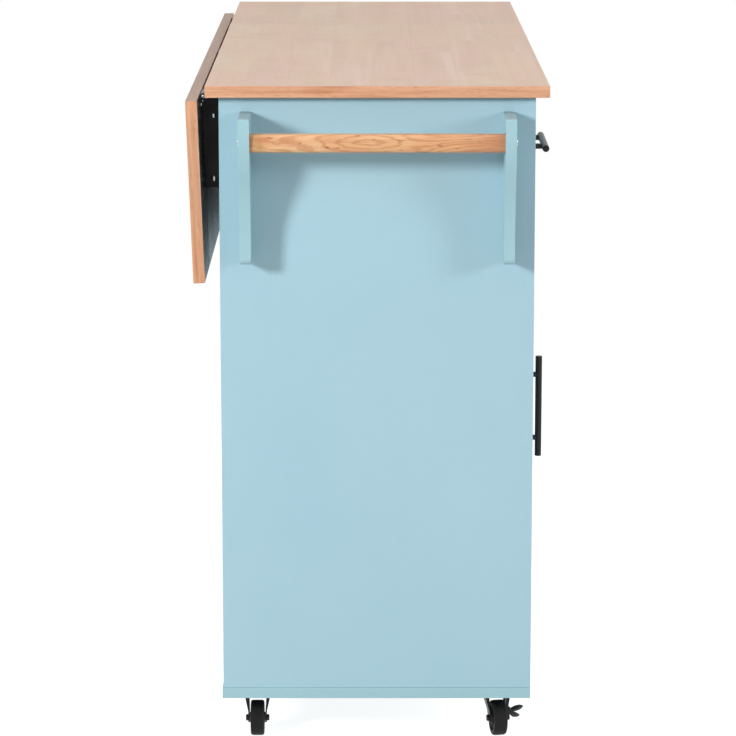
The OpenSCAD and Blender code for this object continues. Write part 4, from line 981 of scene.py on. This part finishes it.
def add_paddle(bm, path, place, half_t):
    """A paddle that runs along a path, swells a little and ends in a round tip; place(across, out, up)."""
    start = BOSS_R * 0.8
    total = sum(math.dist(a, b) for a, b in zip(path, path[1:])) + TIP_OVER
    rings = []
    for i in range(PADDLE_STEPS):
        # The steps get shorter towards the tip, and the last one stops just short of it
        share = min(1 - (1 - i / (PADDLE_STEPS - 1)) ** 1.6, 0.995)
        at, way = way_along(path, start + (total - start) * share)
        lift = Vector((-way.y, way.x))
        # It is widest up to a share of its length, and thickest in the middle
        end = max(0.0, (share - PADDLE_TAPER) / (1 - PADDLE_TAPER))
        wide = PADDLE_HALF_W * (1 - end ** 2.3) ** 0.5
        thick = half_t * (0.8 + 0.5 * math.sin(math.pi * min(share * 1.15, 1.0))) * (1 - end ** 3.0) ** 0.5
        ring = []
        for x, y in circle(1.0, PADDLE_SIDES):
            across = wide * math.copysign(abs(x) ** 0.6, x)
            rise = thick * math.copysign(abs(y) ** 0.8, y)
            ring.append(bm.verts.new(place(across, at.x + lift.x * rise, at.y + lift.y * rise)))
        rings.append(ring)
    tube(bm, rings)


for pedal in ("left_brake_pedal", "right_brake_pedal"):
    rock = joints[pedal.replace("brake_pedal", "pedal_rock")]
    along, pin = Vector(rock["axis"]), Vector(rock["pos_m"])
    points = [v.co - pin for v in nodes[pedal].data.vertices]
    out = along.cross(UP).normalized()
    if max(p.dot(out) for p in points) < max(-p.dot(out) for p in points):
        out = -out
    spans = [p.dot(along) for p in points]
    centre = pin + along * (min(spans) + max(spans)) / 2

    def at_pedal(across, outward, up):
        return centre + along * across + out * outward + UP * up

    bm = bmesh.new()
    add_lathe(bm, BOSS, turn_to(along, centre), sides=40)
    add_paddle(bm, UPPER, at_pedal, UPPER_HALF_T)
    add_paddle(bm, LOWER, at_pedal, LOWER_HALF_T)
    for share in RIDGES:
        # A ridge lies on the paddle's crown, which gets lower and narrower towards the tip
        at, way = way_along(UPPER, RIDGE_SPAN * share)
        crown = at + Vector((-way.y, way.x)) * (0.0028 - 0.0008 * share)
        length = 0.0095 - 0.0035 * share
        start = at_pedal(-length / 2, crown.x, crown.y)
        add_lathe(bm, bar_profile(length, RIDGE_R, RIDGE_EASE), turn_to(along, start), sides=16)
    piece(pedal + "_rocker", bm, pedal, [NYLON], [pedal])


# ---------- CAD nodes that stay, with their finish ----------

FINISH = {
    BAR: ["towel_bar"],
    STEEL: [
        "shelf_pins", "towel_rack_screws", "leaf_hinge_pins", "brace_fixed_rivets", "brace_leaf_rivets",
        "cabinet_screws", "leaf_screws",
    ],
    SHEET: [
        "cabinet_runners", "left_drawer_runners", "right_drawer_runners", "door_pivot_plates",
        "left_door_fittings", "right_door_fittings",
    ],
    BLACK: [
        "leaf_hinge_top_plates", "leaf_hinge_leaf_plates", "brace_fixed_legs", "brace_leaf_legs",
        "left_lower_link", "right_lower_link", "left_upper_link", "right_upper_link", "caster_plates",
        "front_left_fork", "front_right_fork", "rear_left_fork", "rear_right_fork",
    ],
    WHITE: ["door_catches"],
}
for material, names in FINISH.items():
    for name in names:
        slots = nodes[name].data.materials
        slots.clear()
        slots.append(material)


# ---------- surround and floor ----------

AMBIENT = 0.40
FLOOR_R, FLOOR_ALBEDO, FLOOR_GLOW = 14.0, 0.50, 0.87
FADE_FROM, FADE_TO = 0.9, 2.6


def seen_by_camera(tree):
    """1 for what the camera sees, straight or in a mirror or glass, and 0 for what lights the object."""
    rays = tree.add("ShaderNodeLightPath").outputs
    mirrored = tree.sums("MAXIMUM", rays["Is Camera Ray"], rays["Is Glossy Ray"])
    return tree.sums("MAXIMUM", mirrored, rays["Is Transmission Ray"])


# The camera sees the surround white, and the object gets less light from it
world = bpy.data.worlds.new("studio")
bpy.context.scene.world = world
tree = Nodes(world)
strength = tree.grey(seen_by_camera(tree), 0.0, 1.0, AMBIENT, 1.0)
surround = tree.feed(tree.add("ShaderNodeBackground"), Color=(1.0, 1.0, 1.0, 1.0), Strength=strength)
tree.feed(tree.add("ShaderNodeOutputWorld"), surround.outputs[0])

# The floor glows only where the camera sees it, so that it looks almost white and keeps the shadow.
# Away from the object it fades into plain white
material = bpy.data.materials.new("studio_floor")
tree = Nodes(material)
seen = seen_by_camera(tree)
diffuse = tree.feed(tree.add("ShaderNodeBsdfDiffuse"), Color=(FLOOR_ALBEDO, FLOOR_ALBEDO, FLOOR_ALBEDO, 1.0))
glow = tree.feed(tree.add("ShaderNodeEmission"), Strength=tree.sums("MULTIPLY", seen, FLOOR_GLOW))
near = tree.feed(tree.add("ShaderNodeAddShader"), diffuse.outputs[0], glow.outputs[0])
far = tree.add("ShaderNodeEmission")
place = tree.add("ShaderNodeTexCoord").outputs["Object"]
reach = tree.feed(tree.add("ShaderNodeVectorMath", operation="LENGTH"), place).outputs["Value"]
fade = tree.grey(reach, FADE_FROM, FADE_TO, interpolation_type="SMOOTHSTEP")
blend = tree.feed(
    tree.add("ShaderNodeMixShader"), tree.sums("MULTIPLY", fade, seen), near.outputs[0], far.outputs[0]
)
tree.feed(tree.add("ShaderNodeOutputMaterial"), blend.outputs[0])

bm = bmesh.new()
bmesh.ops.create_circle(bm, cap_ends=True, radius=FLOOR_R, segments=96)
mesh = bpy.data.meshes.new("floor")
bm.to_mesh(mesh)
bm.free()
mesh.materials.append(material)
floor = bpy.data.objects.new("floor", mesh)
bpy.context.scene.collection.objects.link(floor)
floor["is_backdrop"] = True


# ---------- lamps and camera ----------

TOWEL_END = Vector((-0.6, 0.0, 0.55))


def area_light(name, direction, distance, size, share, aim=TOWEL_END, glare=True):
    """A square light that gives share of a full exposure to a surface that faces it."""
    data = bpy.data.lights.new(name, "AREA")
    data.shape = "SQUARE"
    data.size = size
    data.energy = share * math.pi ** 2 * distance ** 2
    obj = bpy.data.objects.new(name, data)
    way = Vector(direction).normalized()
    obj.location = aim + way * distance
    obj.rotation_euler = (-way).to_track_quat("-Z", "Y").to_euler()
    obj.visible_glossy = glare
    bpy.context.scene.collection.objects.link(obj)


# Without glare a lamp lights the object but isn't mirrored in it: the key would turn the worktop white
area_light("key", (-1.0, 0.95, 0.48), 4.6, 0.70, 0.71, glare=False)
area_light("front", (0.9, -1.0, 0.25), 4.8, 1.4, 0.42, aim=Vector((0.0, 0.0, 0.5)), glare=False)
area_light("fill", (-1.0, -1.7, 0.60), 4.4, 1.0, 0.30)
area_light("overhead", (-0.15, 0.0, 1.0), 3.6, 2.6, 0.33, aim=Vector((0.0, 0.0, 0.9)))

# The camera stands before the towel end and looks along +X, a little down
EYE = (-5.0802, 0.0084, 1.4407)
PITCH, YAW = math.radians(11.349), math.radians(0.026)
SENSOR_MM, LENS_MM = 36.0, 162.94
camera_data = bpy.data.cameras.new("camera")
camera_data.sensor_width = SENSOR_MM
camera_data.lens = LENS_MM
camera_data.clip_end = 60.0
camera = bpy.data.objects.new("camera", camera_data)
look = Vector((math.cos(PITCH) * math.cos(YAW), -math.cos(PITCH) * math.sin(YAW), -math.sin(PITCH)))
camera.location = EYE
camera.rotation_mode = "QUATERNION"
camera.rotation_quaternion = look.to_track_quat("-Z", "Y")
bpy.context.scene.collection.objects.link(camera)
bpy.context.scene.camera = camera
bpy.context.scene.view_settings.view_transform = "Standard"

low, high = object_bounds()
